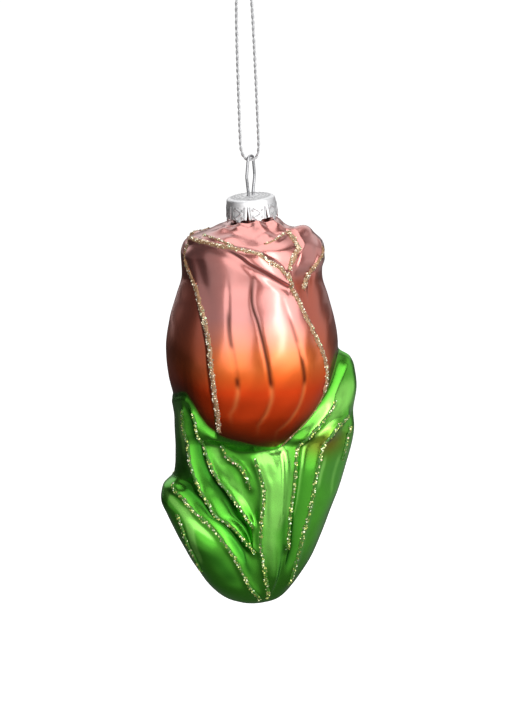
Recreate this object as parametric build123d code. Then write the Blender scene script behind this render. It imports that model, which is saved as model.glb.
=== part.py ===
from build123d import *
import math
import os

import numpy as np

# Blown-glass tulip ornament with glitter trails, a crown cap, a wire eye and a silver cord loop.
# Lengths are millimetres and angles are degrees.
# The glass is drawn upright with its tip at zero, the front at -Y and the right at +X.
# Then everything is hung: the origin is the point inside the top of the cord loop, +Z is up.

# Main sizes of the glass: over the leaf tips, front to back, and from the tip to the foot of the neck
GLASS_WIDTH = 49.2
GLASS_DEPTH = 44.0
GLASS_HEIGHT = 99.3

# Glass
WALL = 1.0
NECK_RADIUS = 5.2
NECK_LENGTH = 5.4
NECK_LEAN = 4.5
NECK_OFFSET = 0.35
LEAN_DROP = 2.8
LEAN_BLEND = 2.5
NECK_LEDGE = 0.5
NECK_FADE = 2.0
EDGE_SOFTNESS = 2.2
BLEND = 0.5
BELLY = 70
BUD_START = 40
ROUND_FADE = 8
BACK_DROP = 2.2
BACK_START = 90
BACK_FADE = 3

# Petals: sizes of the relief, and how far it lies below or above its line
PETAL_STEP = 0.9
LIP_ROLL = 0.8
LIP_DROP = 1.5
LIP_WIDTH = 1.8
LIP_HOLLOW = 0.5
HOLLOW_DROP = 6.0
HOLLOW_WIDTH = 3.0
VEIN_DEPTH = 0.4
VEIN_WIDTH = 1.4
VEIN_FADE = 5.0
SIDE_STEP = 0.9
SIDE_LOW = 89
SIDE_HIGH = 102
SIDE_FADE = 2.0
SIDE_ROLL = 0.48
SIDE_ROLL_RISE = 1.2
SIDE_ROLL_WIDTH = 1.6
SIDE_HOLLOW_DROP = 3.0
SIDE_HOLLOW_WIDTH = 2.4
SIDE_ROLL_START = 52
SIDE_ROLL_FADE = 6
PARTING_DEPTH = 0.7
PARTING_ANGLE = 2
PARTING_SPREAD = 12
PARTING_LOW = 98

# Leaves
RIDGE_HEIGHT = 0.7
RIDGE_WIDTH = 2.0
RIDGE_FADE = 2.0
PLEAT_FADE = 3.0
PLEAT_LEAST = 4

# Sections that the glass and its cavity are lofted through
SIDE_ANGLE = 4.0
RING_STEP = 2.5
TIP_END = 6.0
TIP_RINGS = 6
SHOULDER = 92.0
SHOULDER_CLOSENESS = 1.7
CAVITY_ANGLE = 7.5
CAVITY_RING_STEP = 4.5
CAVITY_START = 0.4
CAVITY_SOFTNESS = 4.0
CAVITY_SETBACK = 2.5
CAVITY_RISE_END = 4.0
CAVITY_DROP_START = 94
CAVITY_DROP_FADE = 3.0
PROBE = 0.5

# Glitter trails
TRAIL_WIDTH = 1.2
TRAIL_HEIGHT = 0.55
TRAIL_CROWN = 0.6
TRAIL_GAP = 0.12
TRAIL_SECTION_STEP = 3.2
TRAIL_SECTIONS = 4
TRAIL_POINTS = 40

# Crown cap
SHEET = 0.35
CAP_GAP = 0.5
CAP_FLARE = 0.5
CAP_SKIRT = 4.7
CAP_POINT = 1.1
CAP_POINT_WIDTH = 1.7
CAP_TABS = 8
SLIT_WIDTH = 0.6
SLIT_TOP = 1.3
SLIT_START = -9
CAP_ROUNDING = 0.6
CAP_DOME = 0.45
HOLE_SPACING = 1.9
HOLE_CLEARANCE = 0.2

# Wire hanger
WIRE = 0.7
EYE_HEIGHT = 10.2
EYE_WIDTH = 3.3
EYE_TURN = 53
CROWN_WIDTH = 1.9
CROWN_RADIUS = 0.85
LEG_LENGTH = 14.0
LEG_CLEARANCE = 0.25
LEG_BEND_RADIUS = 1.5
EYE_BEND_RADIUS = 3.0
HOLE_RUN = 1.1

# Cord
CORD = 0.75
LOOP_DROP = 48.0
REST_GAP = 0.2
HANG_TILT = 2.0
KNOT_START = 0.6
KNOT_RADIUS = 1.5
KNOT_HEIGHT = 2.8
KNOT_ROUNDING = 0.6
TAIL_ROOT = 0.5
TAIL_LENGTH = 6.0
TAIL_SPREAD = 24
BEND_SHARE = 0.45

# Outlines of the glass as drawn, as rows of (height up the side, size)
NECK_START = 109
BUD_RADIUS = [
    (36, 2.0), (41, 9.4), (44, 13.2), (47, 16.0), (50, 17.8), (54, 19.4), (60, 20.9), (67, 21.5),
    (74, 20.6), (80, 18.9), (86, 17.4), (92, 17.7), (95, 16.9), (98, 14.6), (102, 10.8), (106, 7.2),
    (NECK_START, NECK_RADIUS)]
BUD_LEVEL = [
    (0, 0), (60, 60), (88, 88), (92, 92), (95, 94.7), (98, 96.3), (102, 97.7), (106, 98.6),
    (NECK_START, 99.3)]
CUP_DEPTH = [
    (0, 1.5), (0.4, 2.8), (2, 5.0), (7, 7.8), (15, 9.9), (25, 11.5), (35, 12.6), (44, 13.2),
    (47, 16.8), (50, 18.6), (56, 20.8), (67, 22.0)]
CUP_LEFT = [
    (0, 1.5), (0.4, 3.6), (1.5, 6.8), (4, 10.0), (9, 13.7), (14, 16.7), (19, 19.3), (24, 21.6),
    (28, 23.0), (31, 22.5), (34, 19.8), (38, 19.3), (48, 19.5), (56, 20.5)]
CUP_RIGHT = [
    (0, 1.5), (0.4, 3.6), (1.5, 6.8), (4, 9.5), (9, 13.0), (14, 15.7), (24, 19.6), (36, 23.5),
    (46, 25.7), (50, 25.4), (57, 26.2), (62, 25.6), (65, 24.0), (67, 21.0)]
LEFT_SHARPNESS = [(0, 2), (16, 2.4), (29, 5), (36, 2.6), (56, 2.2)]
RIGHT_SHARPNESS = [(0, 2), (38, 2.4), (46, 4), (52, 10), (58, 26), (67, 50)]

# Lines on the front of the glass, as (angle from the front, height up the side)
PETAL_LEFT = [
    (-33, 44), (-29, 49), (-27, 54.5), (-28, 62), (-30, 69.5), (-35, 75.5), (-45, 81.5), (-57, 87),
    (-63, 90), (-66, 94.5)]
PETAL_RIGHT = [
    (30, 44.5), (37, 48), (46, 51), (53, 54.3), (58, 58), (59.5, 61), (58, 64.3), (54, 68.3),
    (49, 72.5), (41, 79.5), (36, 84.5), (31, 88)]
PETAL_RIM = [
    (-78, 97.4), (-65, 98.3), (-47, 97.2), (-27, 96.6), (-10, 95.9), (5, 94.9), (12, 93.4),
    (19.5, 92.1), (27, 89.8)]
VEINS = [
    [(-15, 54.5), (-9, 59), (-10, 64.5), (-16, 77), (-18.5, 86)],
    [(4.5, 51.5), (13.5, 59), (11.5, 63), (4.5, 77), (0, 83), (1, 88)],
    [(19.5, 49.5), (32, 54), (36, 61), (34, 67.5), (30, 74), (24, 82.5)]]
SIDE_FOLD = [(35, 91.2), (40, 94), (46.5, 96), (48, 98.2), (52, 102), (58, 104), (66, 105.6)]
SIDE_LIP = [(48, 84.3), (52, 86.6), (56, 88.7), (61, 90.9), (68, 92.4), (74, 94)]
INNER_CREST = [(-64, 101.1), (-54, 100.8), (-41, 99.6), (-30, 98.6)]
INNER_FOLD = [(20, 99.5), (31, 100.6), (41, 101.4)]
LEAF_EDGE = [
    (-90, 54), (-68, 55.8), (-54, 57.2), (-48, 54.8), (-43, 51.6), (-37, 49), (-24, 46.8), (-7, 45.4),
    (10, 44), (22, 43.6), (31, 44.8), (42, 48.4), (56, 52.8), (65, 56.5), (74, 61), (84, 65), (90, 66)]
TALL_OUTER = [
    (4, 16), (-3, 17.8), (-24, 23), (-42, 26), (-53, 33.2), (-60.5, 41), (-61, 46.5), (-57.5, 53.5)]
TALL_INNER = [(2, 23), (-16, 29), (-33, 34.8), (-41, 39.3), (-45.5, 44.5), (-45, 50), (-47, 53)]
SHORT_LEAF = [(-1, 33.2), (-8, 37.2), (-14.5, 39.4), (-22.5, 41), (-27.5, 42.5), (-29, 45)]
STEM_LEFT = [
    (34, 2.8), (24, 7.3), (15, 14.2), (10.5, 19.5), (12.5, 28.5), (13.5, 32.5), (10.5, 36), (5, 40),
    (3, 41.6)]
LOW_RIB = [(-66, 9.8), (-64.5, 14), (-65.5, 18), (-67, 22.3), (-69, 25.5)]
LOW_EDGE = [
    (20, 2.2), (-3.5, 6.5), (-15, 11), (-27, 16.5), (-42.5, 22), (-56, 26), (-65.5, 30), (-77, 33)]
RIGHT_INNER = [
    (42, 17), (39.5, 22), (38.5, 28), (39, 38), (41, 43), (47.5, 47.5), (54.5, 49.8), (60, 51.8),
    (68, 55.2)]
RIGHT_OUTER = [
    (60, 6), (54, 12.5), (53, 20), (53.5, 28), (53.5, 36), (54.5, 40), (60, 45.5), (66, 48.3),
    (78, 50.4)]
RIGHT_TIP = [(78.5, 38.5), (79, 43), (83, 47.5)]
LEFT_SIDE = [(-90, 0), (-90, NECK_START)]
RIGHT_SIDE = [(90, 0), (90, NECK_START)]

# Swells (+) and hollows (-) of the leaves: left line, right line, size, lowest and highest height
PLEATS = [
    (LEFT_SIDE, LOW_EDGE, 1.0, 4, 29),
    (LOW_EDGE, TALL_OUTER, -0.9, 15, 34),
    (TALL_OUTER, TALL_INNER, -1.2, 18, 54),
    (TALL_INNER, STEM_LEFT, -0.7, 24, 42),
    (STEM_LEFT, RIGHT_INNER, 1.4, 7, 43),
    (RIGHT_INNER, RIGHT_OUTER, -0.8, 12, 49),
    (RIGHT_OUTER, RIGHT_SIDE, -1.0, 32, 50)]
RIDGES = [TALL_OUTER, TALL_INNER, SHORT_LEAF, STEM_LEFT, LOW_EDGE, RIGHT_INNER, RIGHT_OUTER]

# Trails of glitter: a node name and the line that it follows, gold on the petals, green on the leaves
TRAILS = {
    "glitter_petal_left_edge": PETAL_LEFT[1:],
    "glitter_petal_rim": PETAL_RIM,
    "glitter_petal_right_edge": PETAL_RIGHT[4:],
    "glitter_inner_petal_crest": INNER_CREST,
    "glitter_inner_petal_fold": INNER_FOLD,
    "glitter_side_petal_fold": SIDE_FOLD,
    "glitter_side_petal_lip": SIDE_LIP,
    "glitter_tall_leaf_outer": TALL_OUTER,
    "glitter_tall_leaf_inner": TALL_INNER,
    "glitter_short_leaf": SHORT_LEAF,
    "glitter_stem": STEM_LEFT,
    "glitter_low_leaf_rib": LOW_RIB,
    "glitter_low_leaf_edge": LOW_EDGE,
    "glitter_right_leaf_inner": RIGHT_INNER,
    "glitter_right_leaf_outer": RIGHT_OUTER,
    "glitter_right_leaf_tip": RIGHT_TIP}

# Centre line of the cord, as (across, height over the lowest point of the loop)
CORD_ROUTE = [
    (-0.6, LOOP_DROP + 1.1), (-1.5, LOOP_DROP - 2.4), (-2.1, LOOP_DROP - 8), (-2.35, LOOP_DROP - 19),
    (-2.4, 6), (-2.3, 2.2), (-1.35, 0.0), (1.2, -0.05), (2.1, 1.9), (2.15, 5.5),
    (1.9, LOOP_DROP - 19), (1.65, LOOP_DROP - 8), (1.2, LOOP_DROP - 2.4), (0.6, LOOP_DROP + 1.1)]


def largest(rows):
    """Largest size in rows of (height up the side, size)."""
    return max(size for height, size in rows)


# Places and shares that follow from the sizes
WIDEN = GLASS_WIDTH / (largest(CUP_LEFT) + largest(CUP_RIGHT))
DEEPEN = GLASS_DEPTH / (2 * largest(CUP_DEPTH))
HEIGHTEN = GLASS_HEIGHT / BUD_LEVEL[-1][1]
BORE_RADIUS = NECK_RADIUS - WALL
LEAN_START = GLASS_HEIGHT - LEAN_DROP
NECK_TOP = GLASS_HEIGHT + NECK_LENGTH
CAP_RADIUS = NECK_RADIUS + CAP_GAP + SHEET
CAP_TOP = NECK_TOP + SHEET


def smooth(rows, at):
    """Value at a position on the smooth curve through rows of (position, value)."""
    places, values = np.array(rows, float).T
    grades = np.diff(values) / np.diff(places)
    turning = grades[1:] * grades[:-1] <= 0
    means = 2 * grades[1:] * grades[:-1] / np.where(turning, 1, grades[1:] + grades[:-1])
    slopes = np.concatenate([grades[:1], np.where(turning, 0, means), grades[-1:]])
    at = np.clip(at, places[0], places[-1])
    i = np.clip(np.searchsorted(places, at, side="right") - 1, 0, len(places) - 2)
    span = places[i + 1] - places[i]
    t = (at - places[i]) / span
    rise = values[i + 1] - values[i]
    return (values[i] + rise * t * t * (3 - 2 * t)
            + span * t * (1 - t) * (slopes[i] * (1 - t) - slopes[i + 1] * t))


def step(x):
    """Smooth step from 0 at -1 to 1 at +1."""
    t = np.clip((x + 1) / 2, 0, 1)
    return t * t * (3 - 2 * t)


def ridge(x):
    """Smooth bump of height 1 about zero."""
    return np.exp(-x * x)


def angle_on(line, height):
    """Angle of an upright line at a height."""
    return smooth(sorted((level, angle) for angle, level in line), height)


def height_on(line, angle):
    """Height of a level line at an angle."""
    return smooth(sorted(line), angle)


def distance(line, angle, height, radius):
    """Distance over the surface from an upright line, about right near the line."""
    around = np.radians(angle - angle_on(line, height)) * radius
    slant = np.radians(angle_on(line, height + PROBE) - angle_on(line, height - PROBE)) * radius
    slant = slant / (2 * PROBE)
    return around / np.sqrt(1 + slant * slant)


def within(line, height, fade):
    """1 between a line's ends and 0 past them."""
    levels = [level for angle, level in line]
    return step((height - min(levels)) / fade) * step((max(levels) - height) / fade)


def bud_relief(angle, height, radius):
    """Raised front petal, rolled lip, veins and side petals, measured out from the plain bud."""
    left = np.radians(angle - angle_on(PETAL_LEFT, height)) * radius
    right = np.radians(angle_on(PETAL_RIGHT, height) - angle) * radius
    below_rim = height_on(PETAL_RIM, angle) - height
    across = step(left / EDGE_SOFTNESS) * step(right / EDGE_SOFTNESS)
    petal = across * step(below_rim / EDGE_SOFTNESS)
    lip = LIP_ROLL * ridge((below_rim - LIP_DROP) / LIP_WIDTH)
    lip = lip - LIP_HOLLOW * ridge((below_rim - HOLLOW_DROP) / HOLLOW_WIDTH)
    grooves = 0
    for vein in VEINS:
        groove = ridge(distance(vein, angle, height, radius) / VEIN_WIDTH)
        grooves = grooves + groove * within(vein, height, VEIN_FADE)
    below_top = step((SIDE_HIGH - height) / SIDE_FADE)
    fold = np.radians(angle - angle_on(SIDE_FOLD, height)) * radius
    side = step(fold / EDGE_SOFTNESS) * step((height - SIDE_LOW) / SIDE_FADE) * below_top
    above_lip = height - height_on(SIDE_LIP, angle)
    roll = ridge((above_lip - SIDE_ROLL_RISE) / SIDE_ROLL_WIDTH)
    roll = roll - ridge((above_lip + SIDE_HOLLOW_DROP) / SIDE_HOLLOW_WIDTH)
    roll = roll * step((angle - SIDE_ROLL_START) / SIDE_ROLL_FADE)
    parting = ridge((angle - PARTING_ANGLE) / PARTING_SPREAD)
    parting = parting * step((height - PARTING_LOW) / SIDE_FADE) * below_top
    return (PETAL_STEP * petal + lip * across - VEIN_DEPTH * grooves
            + SIDE_STEP * side + SIDE_ROLL * roll - PARTING_DEPTH * parting)


def cup_radius(angle, height, ridge_height):
    """Radius of the leaves, with their tips, pleats and ridges."""
    depth = smooth(CUP_DEPTH, height)
    reach = np.where(angle < 0, smooth(CUP_LEFT, height), smooth(CUP_RIGHT, height))
    power = np.where(angle < 0, smooth(LEFT_SHARPNESS, height), smooth(RIGHT_SHARPNESS, height))
    cup = depth + (reach - depth) * np.abs(np.sin(np.radians(angle))) ** power
    for line in RIDGES:
        crest = ridge(distance(line, angle, height, cup) / RIDGE_WIDTH)
        cup = cup + ridge_height * crest * within(line, height, RIDGE_FADE)
    for left, right, swell, low, high in PLEATS:
        start = angle_on(left, height)
        width = np.maximum(angle_on(right, height) - start, PLEAT_LEAST)
        share = np.clip((angle - start) / width, 0, 1)
        fade = step((height - low) / PLEAT_FADE) * step((high - height) / PLEAT_FADE)
        cup = cup + swell * fade * np.sin(math.pi * share) ** 2
    return cup


def lean(x, z):
    """Tip the neck over to the left, from the shoulder up."""
    share = step(2 * (z - LEAN_START) / LEAN_BLEND - 1)
    turn = np.radians(NECK_LEAN) * share
    rise = z - LEAN_START
    leaning_x = x * np.cos(turn) - rise * np.sin(turn) + NECK_OFFSET * share
    leaning_z = LEAN_START + x * np.sin(turn) + rise * np.cos(turn)
    return leaning_x, leaning_z


def glass_points(angle, height, inset=0.0):
    """Points of the glass at angles from the front and heights up the side, or of its plainer cavity."""
    detail = 0.0 if inset else 1.0
    folded = (angle + 180) % 360 - 180
    front = np.where(np.abs(folded) > 90, np.sign(folded) * 180 - folded, folded)
    radius = smooth(BUD_RADIUS, height)
    outward = smooth(BUD_LEVEL, height + PROBE) - smooth(BUD_LEVEL, height - PROBE)
    upward = smooth(BUD_RADIUS, height - PROBE) - smooth(BUD_RADIUS, height + PROBE)
    upward = np.where(height > BELLY, upward, 0)
    relief = detail * bud_relief(front, height, radius) / np.hypot(outward, upward)
    below_neck = NECK_START - NECK_FADE - height
    relief = relief * step(below_neck / NECK_FADE)
    bud = np.where(height < BUD_START, 0, radius + relief * outward)
    cup = cup_radius(front, height, detail * RIDGE_HEIGHT)
    higher = (bud + cup + np.sqrt((bud - cup) ** 2 + BLEND ** 2)) / 2
    edge = height_on(LEAF_EDGE, front)
    slant = (height_on(LEAF_EDGE, front + 1) - height_on(LEAF_EDGE, front - 1)) / 2
    slant = slant / (np.radians(1) * np.maximum(radius, NECK_RADIUS))
    inside = (edge - height) / np.sqrt(1 + slant * slant)
    softness = EDGE_SOFTNESS if detail else CAVITY_SOFTNESS
    covered = step((inside - inset * CAVITY_SETBACK) / softness)
    covered = np.where(height < BUD_START, 1, covered)
    out = bud + (higher - bud) * covered - inset
    lift = step((CAVITY_RISE_END - height) / CAVITY_RISE_END)
    drop = step((height - CAVITY_DROP_START) / CAVITY_DROP_FADE) * step(below_neck / CAVITY_DROP_FADE)
    level = HEIGHTEN * smooth(BUD_LEVEL, height) + relief * upward + inset * (lift - drop)
    free = step((NECK_START - height) / ROUND_FADE - 1)
    behind = step((height - BACK_START) / BACK_FADE) * step(below_neck / BACK_FADE - 1)
    level = level - BACK_DROP * behind * (1 - np.cos(np.radians(angle))) / 2
    x = out * np.sin(np.radians(angle)) * (1 + (WIDEN - 1) * free)
    y = -out * np.cos(np.radians(angle)) * (1 + (DEEPEN - 1) * free)
    x, z = lean(x, level)
    return np.stack([x, y, z], axis=-1)


def ring_heights(step_size, start, end):
    """Heights of the sections, closer together at the blunt tip and over the shoulder."""
    tip = start + (TIP_END - start) * np.linspace(0, 1, TIP_RINGS) ** 2
    side = np.linspace(TIP_END, SHOULDER, round((SHOULDER - TIP_END) / step_size) + 1)[1:]
    shoulder = np.linspace(SHOULDER, end, round(SHOULDER_CLOSENESS * (end - SHOULDER) / step_size))[1:]
    return np.concatenate([tip, side, shoulder])


def loft_rings(heights, angle_step, inset):
    """Solid lofted through the sections of the glass, or of its cavity."""
    angles = np.linspace(0, 360, round(360 / angle_step), endpoint=False)
    marks = list(np.linspace(0, 1, len(angles) + 1))
    wires = []
    for height in heights:
        ring = glass_points(angles, np.full(len(angles), height), inset)
        edge = Edge.make_spline([Vector(*p) for p in ring], periodic=True, parameters=marks)
        wires.append(Wire([edge]))
    return Solid.make_loft(wires)


def neck_frame(height):
    """Location on the neck's axis at a height above the tip, with Z along the axis."""
    return Pos(NECK_OFFSET, 0, LEAN_START) * Rot(0, -NECK_LEAN, 0) * Pos(0, 0, height - LEAN_START)


EYE_CENTRE = neck_frame(CAP_TOP).position
TOP_ALIGN = (Align.CENTER, Align.CENTER, Align.MAX)


def glass_body():
    """One blown shell: petals, leaves and an open neck."""
    outer = loft_rings(ring_heights(RING_STEP, 0.0, NECK_START - NECK_LEDGE), SIDE_ANGLE, 0.0)
    inner = ring_heights(CAVITY_RING_STEP, CAVITY_START, NECK_START - WALL)
    cavity = loft_rings(inner, CAVITY_ANGLE, WALL)
    neck = neck_frame(NECK_TOP) * Cylinder(NECK_RADIUS, NECK_LENGTH + WALL, align=TOP_ALIGN)
    bore = neck_frame(NECK_TOP + WALL) * Cylinder(BORE_RADIUS, NECK_LENGTH + 4 * WALL, align=TOP_ALIGN)
    return outer + neck - cavity - bore


def trail(line):
    """Bead of glitter along a line on the front of the glass, and a like one on its back."""
    marks = np.arange(len(line))
    fine = np.linspace(0, len(line) - 1, TRAIL_POINTS * len(line))
    angle, height = [smooth(list(zip(marks, column)), fine) for column in zip(*line)]
    steps = np.linalg.norm(np.diff(glass_points(angle, height), axis=0), axis=1)
    run = np.concatenate([[0], np.cumsum(steps)])
    stations = np.linspace(0, run[-1], max(TRAIL_SECTIONS, round(run[-1] / TRAIL_SECTION_STEP) + 1))
    angle = np.interp(stations, run, angle)
    height = np.interp(stations, run, height)
    return Compound([bead(angle, height), bead(180 - angle, height)])


def bead(angle, height):
    """Raised bead through places on the glass, seated just over it."""
    centres = glass_points(angle, height)
    around = glass_points(angle + PROBE, height) - glass_points(angle - PROBE, height)
    upward = glass_points(angle, height + PROBE) - glass_points(angle, height - PROBE)
    outward = np.cross(around, upward)
    outward = outward / np.linalg.norm(outward, axis=1, keepdims=True)
    between = glass_points((angle[1:] + angle[:-1]) / 2, (height[1:] + height[:-1]) / 2)
    bulge = np.sum((between - (centres[1:] + centres[:-1]) / 2) * (outward[1:] + outward[:-1]) / 2, axis=1)
    seat = np.maximum(np.append(bulge, 0), np.insert(bulge, 0, 0)).clip(0) + TRAIL_GAP
    half = TRAIL_WIDTH / 2
    sections = []
    for centre, along, out, foot in zip(centres, np.gradient(centres, axis=0), outward, seat):
        plane = Plane(Vector(*centre), x_dir=Vector(*np.cross(out, along)), z_dir=Vector(*along))
        top = foot + TRAIL_HEIGHT
        shoulder = half * TRAIL_CROWN
        outline = [(-half, foot), (half, foot), (shoulder, top), (-shoulder, top)]
        sections.append(plane * Wire.make_polygon([Vector(*corner) for corner in outline]))
    return Solid.make_loft(sections, ruled=True)


def cap_skin(inset):
    """Solid under the cap's skin: a shallow dome, a rounded corner and a flared skirt."""
    side = CAP_RADIUS - inset
    flat = CAP_RADIUS - CAP_ROUNDING
    corner = CAP_ROUNDING - inset
    reach = corner * math.sqrt(0.5)
    bottom = -CAP_SKIRT - CAP_POINT - inset
    dome = CAP_DOME - inset
    profile = Wire([
        Line((0, bottom), (0, dome)).edge(),
        ThreePointArc((0, dome), (flat / 2, 0.75 * CAP_DOME - inset), (flat, -inset)).edge(),
        ThreePointArc((flat, -inset), (flat + reach, reach - CAP_ROUNDING), (side, -CAP_ROUNDING)).edge(),
        Line((side, -CAP_ROUNDING), (side + CAP_FLARE, bottom)).edge(),
        Line((side + CAP_FLARE, bottom), (0, bottom)).edge()])
    return revolve(Plane.XZ * make_face(profile), Axis.Z)


def crown_cap():
    """Thin cap whose skirt is slit into pointed tabs, with two holes for the wire."""
    cap = cap_skin(0) - cap_skin(SHEET)
    pitch = 360 / CAP_TABS
    half_tab = (CAP_RADIUS + CAP_FLARE) * math.sin(math.radians(pitch / 2))
    shoulder = half_tab - CAP_POINT_WIDTH / 2
    floor = -CAP_SKIRT - 2 * CAP_POINT
    side = [
        (SLIT_WIDTH / 2, -CAP_SKIRT), (shoulder, -CAP_SKIRT),
        (half_tab, floor + CAP_POINT), (half_tab, floor)]
    outline = [(0, -SLIT_TOP)] + side + [(-across, level) for across, level in reversed(side)]
    for i in range(CAP_TABS):
        turn = math.radians(SLIT_START + i * pitch)
        outward = Vector(math.sin(turn), -math.cos(turn), 0)
        slit = Plane((0, 0, 0), x_dir=Vector(0, 0, 1).cross(outward), z_dir=outward)
        cap -= extrude(slit * make_face(Polyline(*outline, close=True)), 2 * CAP_RADIUS)
    hole = Cylinder(WIRE / 2 + HOLE_CLEARANCE, 2 * CAP_SKIRT)
    for end in (-1, 1):
        cap -= Rot(0, 0, EYE_TURN) * Pos(end * HOLE_SPACING / 2, 0, 0) * hole
    return neck_frame(CAP_TOP) * cap


def wire_hanger():
    """One bent wire: an upright eye over the cap and two sprung legs down in the neck."""
    spread = BORE_RADIUS - WIRE / 2 - LEG_CLEARANCE
    half_hole = HOLE_SPACING / 2
    upright = Pos(EYE_CENTRE) * Rot(0, 0, EYE_TURN)
    leaning = neck_frame(CAP_TOP) * Rot(0, 0, EYE_TURN)
    legs = [(spread, -LEG_LENGTH), (half_hole, -HOLE_RUN)]
    eye = [(half_hole, HOLE_RUN), (EYE_WIDTH / 2, EYE_HEIGHT / 2), (CROWN_WIDTH / 2, EYE_HEIGHT)]
    half = [(leaning, p, q) for p, q in legs] + [(upright, p, q) for p, q in eye]
    left = [(frame * Pos(-p, 0, q)).position for frame, p, q in half]
    right = [(frame * Pos(p, 0, q)).position for frame, p, q in half]
    bends = [LEG_BEND_RADIUS, LEG_BEND_RADIUS, EYE_BEND_RADIUS, CROWN_RADIUS]
    path = FilletPolyline(*left, *reversed(right), radius=bends + bends[::-1])
    return tube(path, WIRE)


def tube(path, diameter):
    """Round tube along a path."""
    return sweep(Plane(path @ 0, z_dir=path % 0) * Circle(diameter / 2), path=path)


def hanging_cord():
    """Cord from the knot, down under the eye and up to the knot again."""
    points = [Vector(x, 0, level - LOOP_DROP) for x, level in CORD_ROUTE]
    radii = []
    for before, here, after in zip(points, points[1:], points[2:]):
        turn = math.radians((here - before).get_angle(after - here))
        shorter = min((here - before).length, (after - here).length)
        radii.append(BEND_SHARE * shorter / math.tan(turn / 2))
    path = FilletPolyline(*points, radius=radii)
    cord = tube(path, CORD)
    expected = math.pi * CORD ** 2 / 4 * path.length
    print("cord radii", [round(radius, 1) for radius in radii])
    print("cord length", round(path.length, 1), "volume", round(cord.volume, 2), "of", round(expected, 2))
    return cord


def cord_knot():
    """Tied knot over the loop, with two short tails."""
    middle = KNOT_START + KNOT_HEIGHT / 2
    barrel = Cylinder(KNOT_RADIUS, KNOT_HEIGHT)
    knot = Pos(0, 0, middle) * fillet(barrel.edges().filter_by(GeomType.CIRCLE), KNOT_ROUNDING)
    for side in (-1, 1):
        tail = Cylinder(CORD / 2, TAIL_LENGTH, align=(Align.CENTER, Align.CENTER, Align.MIN))
        knot += Pos(side * TAIL_ROOT, 0, middle) * Rot(0, side * TAIL_SPREAD, 0) * tail
    return knot


def hang(shape):
    """Bring a piece from the upright drawing to its place under the cord."""
    pivot = EYE_CENTRE + Vector(0, 0, EYE_HEIGHT - (WIRE + CORD) / 2 - REST_GAP)
    return Pos(0, 0, -LOOP_DROP) * Rot(0, HANG_TILT, 0) * Pos(-pivot) * shape


def main():
    os.makedirs("parts", exist_ok=True)
    pieces = {
        "hanging_cord": hanging_cord(),
        "cord_knot": cord_knot(),
        "wire_hanger": hang(wire_hanger()),
        "crown_cap": hang(crown_cap()),
        "glass_body": hang(glass_body())}
    for name, line in TRAILS.items():
        pieces[name] = hang(trail(line))
    for name, piece in pieces.items():
        export_step(piece, f"parts/{name}.step")


main()
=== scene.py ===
import math

import bmesh
import bpy
import numpy as np
from bpy.props import FloatProperty, FloatVectorProperty, IntProperty, PointerProperty
from bpy.types import Operator, Panel, PropertyGroup
from mathutils import Matrix, Vector


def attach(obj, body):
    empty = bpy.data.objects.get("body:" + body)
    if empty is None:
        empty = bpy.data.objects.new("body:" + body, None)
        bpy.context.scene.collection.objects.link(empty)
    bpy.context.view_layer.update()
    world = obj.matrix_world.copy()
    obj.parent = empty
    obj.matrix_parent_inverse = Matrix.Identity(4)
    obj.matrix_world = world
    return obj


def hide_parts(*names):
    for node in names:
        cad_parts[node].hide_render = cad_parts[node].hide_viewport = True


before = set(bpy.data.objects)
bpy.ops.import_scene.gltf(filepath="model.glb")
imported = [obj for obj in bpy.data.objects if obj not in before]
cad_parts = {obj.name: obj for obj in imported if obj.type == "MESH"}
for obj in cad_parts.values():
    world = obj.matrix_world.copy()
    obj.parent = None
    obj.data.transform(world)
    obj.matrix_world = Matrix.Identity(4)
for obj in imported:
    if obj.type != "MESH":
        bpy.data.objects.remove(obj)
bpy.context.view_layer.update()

bl_info = {
    "name": "Glass Tulip Ornament",
    "version": (1, 0, 0),
    "blender": (4, 5, 0),
    "location": "View3D > Sidebar > Tulip",
    "description": "Dresses a blown-glass tulip ornament with lacquer, glitter, cap, wire and cord",
    "category": "Object",
}

MM = 0.001

# The glass is drawn upright in millimetres: tip at zero, front at -Y, right at +X
WALL = 1.0
GLASS_HEIGHT = 99.3
NECK_RADIUS = 5.2
NECK_LENGTH = 5.4
NECK_TOP = GLASS_HEIGHT + NECK_LENGTH
NECK_LEAN = 4.5
NECK_OFFSET = 0.35
NECK_FADE = 2.0
LEAN_START = GLASS_HEIGHT - 2.8
LEAN_BLEND = 2.5
TIP_HEIGHT = 6
BUD_START = 40
BELLY = 70
SHOULDER = 92
BACK_DROP = 2.2
BACK_START = 90
BACK_FADE = 3
BACK_CALM = 0.6
LEAF_MERGE = 0.5
COVER_SOFT = 1.3
WAVE_FADE = 3
WELL_HEIGHT = 3.5
PROBE = 0.5

# Rows of points up the tip, the side and the shoulder of the glass
TIP_ROWS = 26
SIDE_ROWS = 250
SHOULDER_ROWS = 80

# Forms of the petals and the leaves: millimetres, degrees, and plain shares and powers
LINE_SOFT = 4
LIP_CURVE = 0.8
LIP_SOFT = 0.45
LIP_LEAST = 0.3
LIP_FULL = 3
UNDERCUT_DEPTH = 0.5
UNDERCUT_DROP = 1.0
UNDERCUT_WIDTH = 1.3
HOLLOW_DEPTH = 0.25
HOLLOW_WIDTH = 2.0
SIDE_STEP = 0.9
SIDE_START = 89
SIDE_END = 102
SIDE_SOFT = 2
SIDE_ROLL = 0.5
ROLL_RISE = 1.2
ROLL_WIDTH = 1.2
GUTTER_DROP = 2.4
GUTTER_WIDTH = 2.0
ROLL_START = 52
ROLL_SOFT = 6
PARTING_DEPTH = 0.4
PARTING_MIDDLE = 2
PARTING_WIDTH = 9
PARTING_START = 98
FOLD_HEIGHT = 0.4
FOLD_WIDTH = 0.9
RIDGE_SOFT = 2
RIB_HEIGHT = 0.3
RIB_WIDTH = 0.7
RIB_SOFT = 3
PLEAT_LEAST = 4
PLEAT_SOFT = 3

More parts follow.
